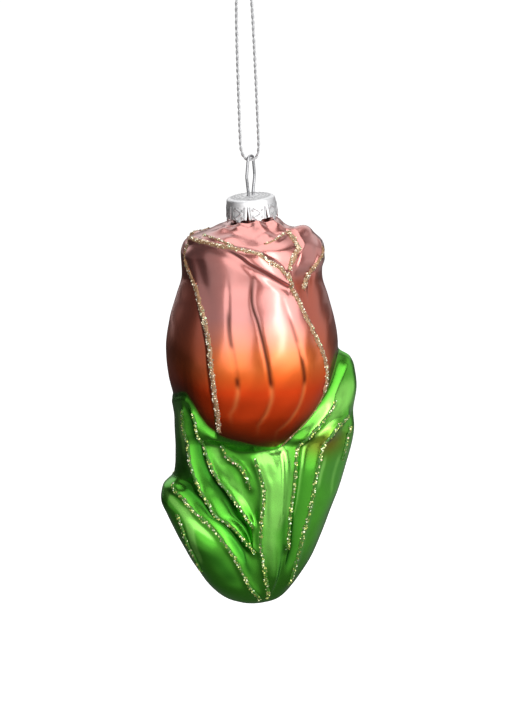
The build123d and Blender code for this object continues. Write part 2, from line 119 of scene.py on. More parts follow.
# Where the lacquer changes tone, and where shade and highlights are painted into it: millimetres, degrees
# and plain shares
STEM_RADIUS = 13
LEAF_RADIUS = 17
PETAL_RADIUS = 20
LEAF_TIP_RADIUS = 23
STEM_MIDDLE = 22
STEM_HALF_TURN = 14
STEM_FOOT = 12
STEM_FADE = 8
# Painted highlight on the stem, its ribs and the right leaf's midrib
STEM_HIGHLIGHT = 0.6
RIB_HIGHLIGHT_WIDTH = 1.6
MIDRIB_HIGHLIGHT = 0.9
MIDRIB_WIDTH = 3.5
LEAF_OVERLAP = 0.9
LEAF_SOFT = 0.4
# Painted shade in the crease just above the leaves' edge: its drop and half width
CREASE_SHADE_DROP = 0.4
CREASE_SHADE_WIDTH = 0.6
# Height over which painted shade darkens the petals' foot above the leaves
FOOT_SHADE_HEIGHT = 4.5
VEIN_STROKE = 0.55
VEIN_SOFT = 5
VEIN_FOOT = 61.8
VEIN_FOOT_SOFT = 1.2
STROKE_SOFT = 2
SHADE_MOST = 0.95
PEARL_RIGHT = 88
PEARL_LEFT = 95
PEARL_SOFT = 2.5
PEARL_EDGE = 1.5
LINING_RISE = 0.96

# Tones that no setting holds, among them painted shade and painted highlight, and grain as noise scales in
# one metre
# painted shade along the veins
VEIN_SHADE_BROWN = (0.05, 0.012, 0.006)
# painted highlight on the veins' lower arcs
ARC_HIGHLIGHT_ORANGE = (0.95, 0.3, 0.08)
# painted shade in the crease where the leaves meet the petals
CREASE_SHADE_BLACK = (0.01, 0.012, 0.004)
FLAKE_GREEN = (0.55, 0.95, 0.5)
FLAKE_PINK = (1.0, 0.6, 0.55)
CLOUD_SCALE = 70.0
RUN_SCALE = 420.0
BRUSH_SCALE = 220.0
PEEL_SCALE = 900.0
GLUE_SCALE = 2600.0
FIBRE_SCALE = 5200.0

# Glitter: millimetres, shares, counts, GLUE_BEAT in radians a millimetre, and the groups' first seeds
GLUE_SINK = 0.05
GLUE_STEP = 0.3
GLUE_COLUMNS = 7
GLUE_LEAST_ROWS = 6
GLUE_MEAN = 0.85
GLUE_SWAY = 0.12
GLUE_BEAT = 1.9
GLUE_ROUGH = 0.1
GLUE_RANGE = (0.5, 1.1)
GLUE_LUMPS = 0.2
TRAIL_END = 0.6
TRAIL_LOOK = 0.3
TRAIL_FINENESS = 40
TRAIL_LEAST = 0.4
FLAKE_LIFT = 0.02
FLAKE_TILT = 0.55
FLAKE_CONE = 0.35
FLAKE_SPREAD = 1.05
FLAKE_RANGE = (0.55, 1.25)
FLAKE_SIDES = 6
FLAKE_POINTS = FLAKE_SIDES + 1
PETAL_SEED = 3
LEAF_SEED = 31

# Cap, wire, cord and knot: millimetres, degrees, shares and counts, with beats and BEND_START in radians
SHEET = 0.35
SHOWN_SHEET = 0.6 * SHEET
CAP_RADIUS = NECK_RADIUS + 0.5 + SHEET
CAP_TOP = NECK_TOP + SHEET
CAP_FLARE = 0.5
CAP_SKIRT = 4.7
CAP_POINT = 1.1
CAP_POINT_WIDTH = 1.7
CAP_POINT_CURVE = 0.8
CAP_TABS = 8
TAB_COLUMNS = 30
TAB_ROWS = 36
TAB_BEND = 0.12
BEND_BEAT = 2.7
BEND_START = 0.6
SLIT_WIDTH = 0.6
SLIT_TOP = 1.3
SLIT_START = -9
CAP_ROUNDING = 0.6
ROUNDING_START = 12
ROUNDING_ROWS = 8
COLLAR_DROP = 0.15
COLLAR_ROWS = 6
CAP_DOME = 0.45
CAP_MIDDLE = 0.12
CAP_FILL = 0.2
DOME_ROWS = 46
HOLE_SPACING = 1.9
HOLE_RADIUS = 0.55
WELD = 0.004
WIRE = 0.7
EYE_HEIGHT = 10.2
EYE_TURN = 53
CORD = 0.75
PLY_OFFSET = 0.25 * CORD
PLY_RADIUS = 0.27 * CORD
PLY_SIDES = 9
PLY_STEP = 0.16
PLY_LEAST_STEPS = 8
ASIDE = (0.3, 1.0, 0.2)
LOOP_DROP = 48.0
REST_GAP = 0.2
HANG_TILT = 2.0
CORD_STEPS = 24
KNOT_RADIUS = 0.95
KNOT_START = 0.95
KNOT_TURNS = 3.1
KNOT_PITCH = 0.68
KNOT_TAPER = 0.25
KNOT_POINTS = 90
TAIL_LENGTH = 6.2
TAIL_START = 1.4
TAIL_SPREAD = 0.4
TAIL_RISE = 0.9
TAIL_POINTS = 24
TAIL_APART = 0.25
TAIL_BOW = 0.3
TAIL_BOW_BEAT = 3
TAIL_SWAY = 0.35
TAIL_SWAY_BEAT = 2.5
STRAND_APART = 0.62
STRAND_CLOSING = 0.32
STRAND_START = 0.4
STRAND_RISE = 1.8

# Ornament stamped into the cap: rings of pips as (radius, number), plain rings, and dots as (across, up)
PIP_RINGS = [(4.6, 26), (3.1, 14)]
PIP_LENGTH = 0.3
PIP_WIDTH = 0.32
PLAIN_RINGS = [3.85, 2.2]
RING_WIDTH = 0.16
DOTS = [(-1.1, 0.9), (1.1, -0.9), (1.15, 0.75), (-1.15, -0.75), (0, 1.75), (0, -1.9)]
DOT_RADIUS = 0.26
SCROLL_REACH = 0.75
SCROLL_PITCH = 2.6
SCROLL_WIDTH = 0.22
SCROLL_END = 1.45
SCROLL_SHIFT = 0.5
SCROLL_SOFT = 0.2
BORDER_OUT = 1.75
BORDER_WIDTH = 0.16
BORDER_STAMP = 0.7
STAMP_DROP = 0.1
STAMP_TOP = 0.06
STAMP_END = 0.97
STAMP_SOFT = 0.05
STAMP_MOST = 1.2

# Outlines of the glass as drawn, as rows of (height up the side, size)
NECK_START = 109
BUD_RADIUS = [
    (36, 2.0), (41, 9.4), (44, 13.2), (47, 16.0), (50, 17.8), (54, 19.4), (60, 20.9), (67, 21.5),
    (74, 20.6), (80, 18.9), (86, 17.4), (92, 17.7), (95, 16.9), (98, 14.6), (102, 10.8), (106, 7.2),
    (NECK_START, NECK_RADIUS)]
BUD_LEVEL = [
    (0, 0), (60, 60), (88, 88), (92, 92), (95, 94.7), (98, 96.3), (102, 97.7), (106, 98.6),
    (NECK_START, 99.3)]
CUP_DEPTH = [
    (0, 1.5), (0.4, 2.8), (2, 5.0), (7, 7.8), (15, 9.9), (25, 11.5), (35, 12.6), (44, 13.2),
    (47, 16.8), (50, 18.6), (56, 20.8), (67, 22.0)]
CUP_LEFT = [
    (0, 1.5), (0.4, 3.6), (1.5, 6.8), (4, 10.0), (9, 13.7), (14, 16.7), (19, 19.3), (24, 21.6),
    (28, 23.0), (31, 22.5), (34, 19.8), (38, 19.3), (48, 19.5), (56, 20.5)]
CUP_RIGHT = [
    (0, 1.5), (0.4, 3.6), (1.5, 6.8), (4, 9.5), (9, 13.0), (14, 15.7), (24, 19.6), (36, 23.5),
    (46, 25.7), (50, 25.4), (57, 26.2), (62, 25.6), (65, 24.0), (67, 21.0)]

# How sharply the leaves' left and right sides stand out, as (height, power)
LEFT_SHARPNESS = [(0, 2), (16, 2.4), (29, 5), (36, 2.6), (56, 2.2)]
RIGHT_SHARPNESS = [(0, 2), (38, 2.4), (46, 4), (52, 10), (58, 26), (67, 50)]

# Lines on the front of the glass, as (angle from the front, height up the side)
PETAL_LEFT = [
    (-33, 44), (-29, 49), (-27, 54.5), (-28, 62), (-30, 69.5), (-35, 75.5), (-45, 81.5), (-57, 87),
    (-63, 90), (-66, 94.5)]
PETAL_RIGHT = [
    (30, 44.5), (37, 48), (46, 51), (53, 54.3), (58, 58), (59.5, 61), (58, 64.3), (54, 68.3),
    (49, 72.5), (41, 79.5), (36, 84.5), (31, 88)]
PETAL_RIM = [
    (-78, 97.4), (-65, 98.3), (-47, 97.2), (-27, 96.6), (-10, 95.9), (5, 94.9), (12, 93.4),
    (19.5, 92.1), (27, 89.8)]
LIP_EDGE = [
    (-75, 95), (-50, 96), (-36, 95.9), (-21, 95.1), (-10, 93.7), (-1, 92), (11, 89.8), (22, 87.5), (29, 86)]
PETAL_HOLLOW = [(-30, 68), (-33, 80), (-41, 86), (-45, 91), (-50, 94.5)]
VEINS = [
    [(-15, 54.5), (-11, 57.2), (-9, 61), (-10, 66), (-16, 77), (-18.5, 86)],
    [(4.5, 51.5), (10.5, 55.5), (13, 59.5), (11.5, 64), (4.5, 77), (0, 83), (1, 88)],
    [(19.5, 49.5), (29, 52.8), (34.5, 57), (36, 61.5), (34, 67.5), (30, 74), (24, 82.5)]]
SIDE_FOLD = [(35, 91.2), (40, 94), (46.5, 96), (48, 98.2), (52, 102), (58, 104), (66, 105.6)]
SIDE_LIP = [(48, 84.3), (52, 86.6), (56, 88.7), (61, 90.9), (68, 92.4), (74, 94)]
INNER_CREST = [(-68, 99.8), (-53, 99.4), (-41, 98.8), (-26, 97.8), (-16, 96.9)]
INNER_FOLD = [(12, 97.6), (21, 98.5), (32, 99.8), (43, 101)]
PETAL_CORNER = [(-68, 93.8), (-70, 95.2), (-64, 96.4)]
LEAF_EDGE = [
    (-90, 54), (-68, 55.8), (-54, 57.2), (-48, 54.8), (-43, 51.6), (-37, 49), (-24, 46.8), (-7, 45.4),
    (10, 44), (22, 43.6), (31, 44.8), (42, 48.4), (56, 52.8), (65, 56.5), (74, 61), (84, 65), (90, 66)]
TALL_OUTER = [
    (4, 16), (-3, 17.8), (-24, 23), (-42, 26), (-53, 33.2), (-60.5, 41), (-61, 46.5), (-57.5, 53.5)]
TALL_INNER = [(2, 23), (-16, 29), (-33, 34.8), (-41, 39.3), (-45.5, 44.5), (-45, 50), (-47, 53)]
SHORT_LEAF = [(-1, 33.2), (-8, 37.2), (-14.5, 39.4), (-22.5, 41), (-27.5, 42.5), (-29, 45)]
STEM_LEFT = [
    (34, 2.8), (24, 7.3), (15, 14.2), (10.5, 19.5), (12.5, 28.5), (13.5, 32.5), (10.5, 36), (5, 40),
    (3, 41.6)]
LOW_RIB = [(-66, 9.8), (-64.5, 14), (-65.5, 18), (-67, 22.3), (-69, 25.5)]
LOW_EDGE = [
    (20, 2.2), (-3.5, 6.5), (-15, 11), (-27, 16.5), (-42.5, 22), (-56, 26), (-65.5, 30), (-77, 33)]
RIGHT_INNER = [
    (42, 17), (39.5, 22), (38.5, 28), (39, 38), (41, 43), (47.5, 47.5), (54.5, 49.8), (60, 51.8),
    (68, 55.2)]
RIGHT_OUTER = [
    (60, 6), (54, 12.5), (53, 20), (53.5, 28), (53.5, 36), (54.5, 40), (60, 45.5), (66, 48.3),
    (78, 50.4)]
RIGHT_TIP = [(78.5, 38.5), (79, 43), (83, 47.5)]
STEM_RIBS = [
    [(19.5, 25.5), (19.5, 32.5), (13.5, 38), (8, 42.5)],
    [(29.5, 25), (28.5, 32), (28.5, 37), (28.5, 43)]]
RIGHT_MIDRIB = [(56, 48), (65, 52), (73.5, 55), (79, 59)]
LEFT_SIDE = [(-90, 0), (-90, NECK_START)]
RIGHT_SIDE = [(90, 0), (90, NECK_START)]

# Bumps on the shoulder and the bronze spot, as (angle, height, half turn, half height, size)
SHOULDER_LUMPS = [
    (-50, 103.2, 16, 2.0, 1.3), (-20, 104, 14, 1.9, 1.6), (9, 104.2, 13, 1.9, 1.8),
    (40, 104.2, 15, 1.9, 1.5), (-26, 100, 10, 1.5, 0.5), (14, 100.6, 10, 1.7, 0.6), (78, 99, 26, 3.0, 1.2),
    (88, 105.2, 26, 2.0, -1.0), (92, 95.6, 26, 1.6, -0.7), (0, 105.7, 70, 0.9, 1.1)]
BRONZE_SPOT = (63, 44.5, 15, 3.4, 0.85)

# Folds behind the lip, as (line, middle angle, half turn)
INNER_FOLDS = [(INNER_CREST, -46, 18), (INNER_FOLD, 32, 12)]

# How dark the painted shade along each vein is, as rows of (height, darkness)
VEIN_SHADE_TONES = [
    [(62, 0.9), (63.5, 0.9), (65, 0.15), (70.5, 0.15), (72.5, 0.9), (78, 0.9), (81, 0.1)],
    [(62, 1.0), (88, 1.0)],
    [(62, 0.9), (67.5, 0.9), (69.5, 0.2), (71.5, 0.2), (73, 0.7), (77, 0.7), (79.5, 0.1)]]

# Swells (+) and hollows (-) of the leaves: left line, right line, size, lowest and highest height, painted
# shade
PLEATS = [
    (LEFT_SIDE, LOW_EDGE, 1.0, 4, 29, 0.2),
    (LOW_EDGE, TALL_OUTER, -0.9, 15, 34, 0.5),
    (TALL_OUTER, TALL_INNER, -1.2, 18, 54, 0.85),
    (TALL_INNER, STEM_LEFT, -0.7, 24, 42, 0.0),
    (STEM_LEFT, RIGHT_INNER, 1.4, 7, 43, 0.0),
    (RIGHT_INNER, RIGHT_OUTER, -0.8, 12, 49, 0.3),
    (RIGHT_OUTER, RIGHT_SIDE, -1.0, 32, 50, 0.1)]
RIDGES = [TALL_OUTER, TALL_INNER, SHORT_LEAF, STEM_LEFT, LOW_EDGE, RIGHT_INNER, RIGHT_OUTER]

# Strokes of painted highlight (+) and painted shade (-) on the green lacquer beside a line: turn, lift,
# half width, heights, tone
STROKES = [
    (TALL_OUTER, -7, 0, 1.0, 41, 53, 0.8),
    (TALL_OUTER, -9, -1, 1.6, 30, 41, -0.5),
    (TALL_OUTER, 7, 1, 0.8, 24, 38, 0.2),
    (TALL_INNER, -6, -0.5, 1.3, 24, 50, -0.8),
    (TALL_INNER, 8, 1, 2.0, 28, 46, 0.35),
    (LOW_EDGE, 7, 1.6, 1.3, 10, 32, -0.9),
    (LOW_EDGE, -5, -1.6, 0.7, 20, 30, 1.2),
    (LOW_EDGE, -12, -4, 2.0, 8, 16, -0.6),
    (LOW_RIB, 6, 0, 0.8, 13, 27, 1.4),
    (STEM_LEFT, -4, 0, 0.8, 8, 40, -0.6),
    (RIGHT_INNER, -5, 0, 0.8, 15, 42, -0.6),
    (RIGHT_INNER, 5, -1, 0.6, 26, 52, 1.0),
    (RIGHT_INNER, 4, 0, 0.8, 12, 25, -0.8),
    (RIGHT_OUTER, 5, 0, 0.7, 33, 41, 0.8),
    (RIGHT_OUTER, 20, 0, 0.8, 30, 41, 0.5)]


def shifted(line, turn, lift):
    """A line moved around and up the glass."""
    return [(angle + turn, height + lift) for angle, height in line]


# Trails of glitter: the piece that each stands for and its runs, as (line, share of the full width)
PETAL_TRAILS = {
    "glitter_petal_left_edge": [(shifted(PETAL_LEFT[1:-1], 2.5, 0) + PETAL_CORNER, 1.0)],
    "glitter_petal_rim": [(PETAL_CORNER[-1:] + shifted(PETAL_RIM[2:], 0, -0.8), 0.8)],
    "glitter_petal_right_edge": [
        (shifted(PETAL_RIGHT[4:], -2.2, 0) + [(27.3, 89.4)], 1.0), (PETAL_RIGHT[:5], 0.35)],
    "glitter_inner_petal_crest": [(INNER_CREST, 0.5)],
    "glitter_inner_petal_fold": [(INNER_FOLD, 0.4)],
    "glitter_side_petal_fold": [([(31.5, 89.6)] + shifted(SIDE_FOLD[:5], -3.5, -0.4), 0.9)],
    "glitter_side_petal_lip": [(shifted(SIDE_LIP, -2.5, 0), 1.0)]}
LEAF_TRAILS = {
    "glitter_tall_leaf_outer": [(TALL_OUTER, 1.0)],
    "glitter_tall_leaf_inner": [(TALL_INNER, 1.0)],
    "glitter_short_leaf": [(SHORT_LEAF, 1.0)],
    "glitter_stem": [(STEM_LEFT, 1.0)],
    "glitter_low_leaf_rib": [(LOW_RIB, 1.0)],
    "glitter_low_leaf_edge": [(LOW_EDGE, 1.0)],
    "glitter_right_leaf_inner": [(RIGHT_INNER, 1.0)],
    "glitter_right_leaf_outer": [(RIGHT_OUTER, 1.0)],
    "glitter_right_leaf_tip": [(RIGHT_TIP, 1.0)]}

# Route of the cord, as (across, height over the lowest point of the loop)
CORD_ROUTE = [
    (-0.6, LOOP_DROP + 1.1), (-1.5, LOOP_DROP - 2.4), (-2.1, LOOP_DROP - 8), (-2.35, LOOP_DROP - 19),
    (-2.4, 6), (-2.3, 2.2), (-1.35, 0.0), (1.2, -0.05), (2.1, 1.9), (2.15, 5.5),
    (1.9, LOOP_DROP - 19), (1.65, LOOP_DROP - 8), (1.2, LOOP_DROP - 2.4), (0.6, LOOP_DROP + 1.1)]

# Rim of the neck and the inside of the wall, as rows of (radius, height)
LINING = [
    (NECK_RADIUS, NECK_TOP - 0.4), (NECK_RADIUS - 0.15, NECK_TOP - 0.1), (NECK_RADIUS - 0.5, NECK_TOP),
    (NECK_RADIUS - WALL + 0.15, NECK_TOP - 0.1), (NECK_RADIUS - WALL, NECK_TOP - 0.4),
    (NECK_RADIUS - WALL, 98.6), (5.5, 97.4), (11, 95.6), (15.5, 92), (15.8, 86), (19, 72), (19.5, 65),
    (17, 54), (11.5, 45), (10.5, 30), (7.5, 14), (2, 4)]

# Unevenness of the blown wall, as rows of (pitch, direction, start)
WAVES = [
    (17, (1, 0.3, 0.4), 0.3), (13, (-0.4, 0.8, 0.7), 1.9), (9.5, (0.7, -0.7, 0.3), 4.1),
    (7.3, (0.2, 0.6, -0.9), 2.7), (5.9, (-0.8, -0.3, 0.6), 5.3)]

# Stage: what the camera is aimed at and how much it frames in millimetres, and the floor in metres
AIM_ACROSS = 1.5
AIM_HEIGHT = 62.25
FRAME_HEIGHT = 178.5
MIDDLE_HEIGHT = 60
SENSOR = 36.0
FLOOR_HALF = 3.0
FLOOR_DROP = 0.3
FLOOR_DARK = (0.16, 0.16, 0.16)
FLOOR_GREY = (0.6, 0.6, 0.6)
WHITE = (1.0, 1.0, 1.0)

# Panels of light: name, azimuth, elevation, distance, width, height, share of the softbox's brightness
LAMPS = [
    ("left_softbox", -18, 8, 0.9, 0.66, 0.95, 0.66),
    ("left_panel", -60, 8, 0.9, 0.8, 1.0, 0.15),
    ("right_softbox", 44, 10, 0.9, 0.95, 1.05, 0.8),
    ("side_panel", 104, 12, 0.9, 0.6, 1.1, 0.27),
    ("strip_light", 38, 24, 0.8, 0.14, 0.8, 1.2),
    ("top_light", 10, 92, 0.9, 1.1, 1.0, 0.7)]


def paint(name, description, default):
    """A colour that the user may change."""
    return FloatVectorProperty(
        name=name, description=description, subtype="COLOR", min=0, max=1, default=default)


def measure(name, description, default, least=0.0):
    """A length in metres that the user may change."""
    return FloatProperty(name=name, description=description, unit="LENGTH", min=least, default=default)


class GlassSettings(PropertyGroup):
    rose: paint("Rose", "Lacquer at the top of the petals", (0.58, 0.16, 0.13))
    peach: paint("Peach", "Lacquer over the belly of the petals", (0.84, 0.16, 0.022))
    copper: paint("Copper", "Lacquer on the lower petals", (0.78, 0.06, 0.004))
    # painted shade: russet darkens the side and back petals
    russet_shade: paint("Russet", "Lacquer on the side petals", (0.52, 0.1, 0.045))
    # painted shade: umber darkens the petals' foot just above the leaves
    umber: paint("Umber", "Lacquer where the petals meet the leaves", (0.07, 0.03, 0.006))
    leaf: paint("Leaf", "Green lacquer of the leaves", (0.1, 0.46, 0.037))
    # painted highlight: this paler green goes on the stem, the crests and the light strokes, and on paler
    # brushed streaks
    leaf_pale_and_highlight: paint("Light leaf", "Thin green lacquer on the stem and the crests", (0.32, 0.88, 0.15))
    # painted shade: this dark green goes into the pleats' hollows and the dark strokes
    leaf_shade: paint("Dark leaf", "Thick green lacquer in the hollows", (0.025, 0.17, 0.012))
    bronze: paint("Bronze", "Overspray in the hollow of the right leaf", (0.2, 0.13, 0.015))
    petal_edge: measure("Petal edge", "Width of the step at a petal's edge", 0.0009, 0.0002)
    petal_step: measure("Petal step", "How far the front petal stands out", 0.0009)
    lip_roll: measure("Lip roll", "Height of the petal's rolled lip", 0.0012)
    vein_depth: measure("Vein depth", "Depth of the petal's veins", 0.0001)
    vein_width: measure("Vein width", "Half width of a vein", 0.0006, 0.0002)
    ridge_height: measure("Ridge height", "Height of the leaves' ridges", 0.0006)
    ridge_width: measure("Ridge width", "Half width of a leaf's ridge", 0.0012, 0.0002)
    waviness: measure("Waviness", "Unevenness of the blown wall", 0.00006)
    columns: IntProperty(name="Columns", description="Faces around the glass", min=120, default=600)


class GlitterSettings(PropertyGroup):
    gold: paint("Gold", "Gold flakes on the petals", (0.9, 0.74, 0.5))
    gold_glue: paint("Gold glue", "Glue under the gold flakes", (0.36, 0.2, 0.1))
    lime: paint("Lime", "Green gold flakes on the leaves", (0.75, 0.85, 0.22))
    lime_glue: paint("Lime glue", "Glue under the green flakes", (0.05, 0.19, 0.015))
    petal_width: measure("Petal width", "Width of a gold trail", 0.0017)
    leaf_width: measure("Leaf width", "Width of a green trail", 0.001)
    height: measure("Height", "Height of a trail's bead", 0.00035)
    petal_flake: measure("Petal flake", "Width of a gold flake", 0.00042)
    leaf_flake: measure("Leaf flake", "Width of a green flake", 0.00048)
    petal_flakes: FloatProperty(
        name="Petal flakes", description="Gold flakes on a millimetre of trail", min=0, default=9)
    leaf_flakes: FloatProperty(
        name="Leaf flakes", description="Green flakes on a millimetre of trail", min=0, default=4.4)


class CapSettings(PropertyGroup):
    aluminium: paint("Aluminium", "Bright stamped sheet", (0.9, 0.9, 0.91))
    steel: paint("Wire", "Bright drawn wire", (0.42, 0.42, 0.43))
    emboss: measure("Emboss", "Height of the stamped ornament", 0.00016)


class CordSettings(PropertyGroup):
    silver: paint("Silver", "Metallic thread of the cord", (0.72, 0.72, 0.73))
    lay: measure("Lay", "Length of one turn of the twist", 0.003, 0.001)


class StageSettings(PropertyGroup):
    distance: measure("Camera distance", "From the lens to the ornament", 0.85, 0.3)
    elevation: FloatProperty(
        name="Elevation", description="Height angle of the camera", subtype="ANGLE",
        default=math.radians(14))
    softbox: FloatProperty(
        name="Softbox", description="Brightness of the panels of light", min=0, default=2.7)
    floor: paint("Floor", "Colour of the floor", (0.86, 0.86, 0.86))


class Tap:
    """An output socket in a node tree. Sums and products of taps add Math nodes."""

    def __init__(self, tree, socket=None):
        self.tree = tree
        self.socket = socket

    def node(self, kind, settings=None, inputs=None, output=0):
        """Add a node with its settings, then its values and links, and give back one of its outputs."""
        node = self.tree.nodes.new(kind)
        for name, value in (settings or {}).items():
            if name == "stops":
                lay_stops(node.color_ramp, value)
            else:
                setattr(node, name, value)
        for key, value in (inputs or {}).items():
            if isinstance(value, Tap):
                self.tree.links.new(value.socket, node.inputs[key])
            else:
                node.inputs[key].default_value = value
        return Tap(self.tree, node.outputs[output]) if node.outputs else None

    def maths(self, operation, first, second):
        return self.node("ShaderNodeMath", {"operation": operation}, {0: first, 1: second})

    def __add__(self, other):
        return self.maths("ADD", self, other)

    def __sub__(self, other):
        return self.maths("SUBTRACT", self, other)

    def __rsub__(self, other):
        return self.maths("SUBTRACT", other, self)

    def __mul__(self, other):
        return self.maths("MULTIPLY", self, other)

    __radd__ = __add__
    __rmul__ = __mul__

    def clamped(self):
        """The same value held between 0 and 1."""
        return self.node("ShaderNodeClamp", None, {0: self})

    def between(self, low, high):
        """0 below low and 1 above high, with a smooth rise."""
        ends = {"Value": self, "From Min": low, "From Max": high}
        return self.node("ShaderNodeMapRange", {"interpolation_type": "SMOOTHSTEP"}, ends)

    def mix(self, first, second):
        """The first colour where this value is 0 and the second where it is 1."""
        colours = {0: self, 6: solid(first), 7: solid(second)}
        return self.node("ShaderNodeMix", {"data_type": "RGBA"}, colours, 2)

    def place(self):
        """Place on the piece, in metres."""
        return self.node("ShaderNodeTexCoord", None, None, "Object")

    def stretched(self, scale, turn=(0.0, 0.0, 0.0)):
        """A place scaled along its axes and then turned."""
        return self.node("ShaderNodeMapping", None, {"Vector": self, "Rotation": turn, "Scale": scale})

    def part(self, axis):
        """A place's distance along one axis."""
        return self.node("ShaderNodeSeparateXYZ", None, {0: self}, axis)

    def noise(self, scale, detail=2.0):
        """Cloudy value about one half at a place."""
        values = {"Vector": self, "Scale": scale, "Detail": detail}
        return self.node("ShaderNodeTexNoise", None, values)

    def stored(self, name):
        """A value that the mesh holds at its points."""
        return self.node("ShaderNodeAttribute", {"attribute_name": name}, None, "Fac")

    def bump(self, strength, depth):
        """The surface's direction where this value is a height."""
        return self.node("ShaderNodeBump", None, {"Strength": strength, "Distance": depth, "Height": self})


def lay_stops(ramp, stops):
    """Set a ramp's stops from rows of (position, colour)."""
    while len(ramp.elements) < len(stops):
        ramp.elements.new(1.0)
    for element, (position, colour) in zip(ramp.elements, stops):
        element.position = position
        element.color = solid(colour)


def solid(colour):
    """A colour with full alpha, or a tap as it is."""
    return colour if isinstance(colour, Tap) else (*colour, 1.0)


def toned(colour, gain, lift=0.0):
    """A colour made darker or lighter."""
    return tuple(min(1.0, gain * part + lift) for part in colour)


def new_finish(name):
    """An empty material, and a tap to start its nodes from."""
    material = bpy.data.materials.new(name)
    material.use_nodes = True
    material.node_tree.nodes.clear()
    return material, Tap(material.node_tree)


def surface(start, values):
    """Close a material with one shader."""
    shader = start.node("ShaderNodeBsdfPrincipled", None, values)
    start.node("ShaderNodeOutputMaterial", None, {"Surface": shader})


def smooth(rows, at):
    """Value at a position on the smooth curve through rows of (position, value)."""
    places, values = np.array(rows, float).T
    grades = np.diff(values) / np.diff(places)
    turning = grades[1:] * grades[:-1] <= 0
    means = 2 * grades[1:] * grades[:-1] / np.where(turning, 1, grades[1:] + grades[:-1])
    slopes = np.concatenate([grades[:1], np.where(turning, 0, means), grades[-1:]])
    at = np.clip(at, places[0], places[-1])
    i = np.clip(np.searchsorted(places, at, side="right") - 1, 0, len(places) - 2)
    span = places[i + 1] - places[i]
    t = (at - places[i]) / span
    rise = values[i + 1] - values[i]
    return (values[i] + rise * t * t * (3 - 2 * t)
            + span * t * (1 - t) * (slopes[i] * (1 - t) - slopes[i + 1] * t))


def step(x):
    """Smooth step from 0 at -1 to 1 at +1."""
    t = np.clip((x + 1) / 2, 0, 1)
    return t * t * (3 - 2 * t)


def window(value, low, high, soft):
    """1 between low and high and 0 past them, with soft ends."""
    return step((value - low) / soft) * step((high - value) / soft)


def ridge(x):
    """Smooth bump of height 1 about zero."""
    return np.exp(-x * x)


def lump(row, angle, height):
    """A soft bump on the glass from a row of (angle, height, half turn, half height, size)."""
    middle, level, wide, tall, size = row
    return size * ridge((angle - middle) / wide) * ridge((height - level) / tall)


def angle_on(line, height):
    """Angle of an upright line at a height."""
    return smooth(sorted((level, angle) for angle, level in line), height)


def height_on(line, angle):
    """Height of a level line at an angle."""
    return smooth(sorted(line), angle)


def right_of(line, angle, height, radius):
    """Distance around the glass to the right of an upright line."""
    return np.radians(angle - angle_on(line, height)) * radius


def distance(line, angle, height, radius):
    """Distance over the surface from an upright line, about right near the line."""
    slant = np.radians(angle_on(line, height + PROBE) - angle_on(line, height - PROBE)) * radius
    slant = slant / (2 * PROBE)
    return right_of(line, angle, height, radius) / np.sqrt(1 + slant * slant)


def stroke(line, angle, height, radius, width, soft):
    """1 on an upright line, and 0 beside it and past its ends."""
    levels = [level for turn, level in line]
    beside = ridge(distance(line, angle, height, radius) / width)
    return beside * window(height, min(levels), max(levels), soft)


def on_petal(angle, height, radius, soft):
    """1 between the sides of the front petal and 0 past them."""
    inside_left = right_of(PETAL_LEFT, angle, height, radius)
    inside_right = -right_of(PETAL_RIGHT, angle, height, radius)
    return step(inside_left / soft) * step(inside_right / soft)


def pleated(angle, height):
    """Swell and painted shade of the leaves' pleats, full along their middles and 0 past their sides."""
    swells = 0
    shades = 0
    for left, right, swell, low, high, shade in PLEATS:
        start = angle_on(left, height)
        width = np.maximum(angle_on(right, height) - start, PLEAT_LEAST)
        share = np.clip((angle - start) / width, 0, 1)
        full = window(height, low, high, PLEAT_SOFT) * np.sin(math.pi * share) ** 2
        swells = swells + swell * full
        shades = shades + shade * full
    return swells, shades


def inside_leaf(front, height):
    """Distance inside the upper edge of the leaves, negative above it."""
    radius = np.maximum(smooth(BUD_RADIUS, height), NECK_RADIUS)
    slant = (height_on(LEAF_EDGE, front + 1) - height_on(LEAF_EDGE, front - 1)) / 2
    slant = slant / (np.radians(1) * radius)
    return (height_on(LEAF_EDGE, front) - height) / np.sqrt(1 + slant * slant)


def folded(angle):
    """The angle on the front that an angle on the back mirrors."""
    turned = (angle + 180) % 360 - 180
    return np.where(np.abs(turned) > 90, np.sign(turned) * 180 - turned, turned)


def waves(points):
    """Slow unevenness of a blown wall, between about -1 and 1."""
    total = 0
    for pitch, direction, start in WAVES:
        total = total + np.sin(points @ np.array(direction) * 2 * math.pi / pitch + start)
    return total / 3


def polar(radius, turn, level):
    """Points at a radius and a level, turned from the front about the upright axis."""
    places = np.broadcast_arrays(radius * np.sin(turn), -radius * np.cos(turn), level)
    return np.stack(places, axis=-1)


def unit_rows(vectors):
    """Vectors of length one."""
    return vectors / np.linalg.norm(vectors, axis=1, keepdims=True)


def run_along(points):
    """Distance along a line of points from its first."""
    steps = np.linalg.norm(np.diff(points, axis=0), axis=1)
    return np.concatenate([[0], np.cumsum(steps)])


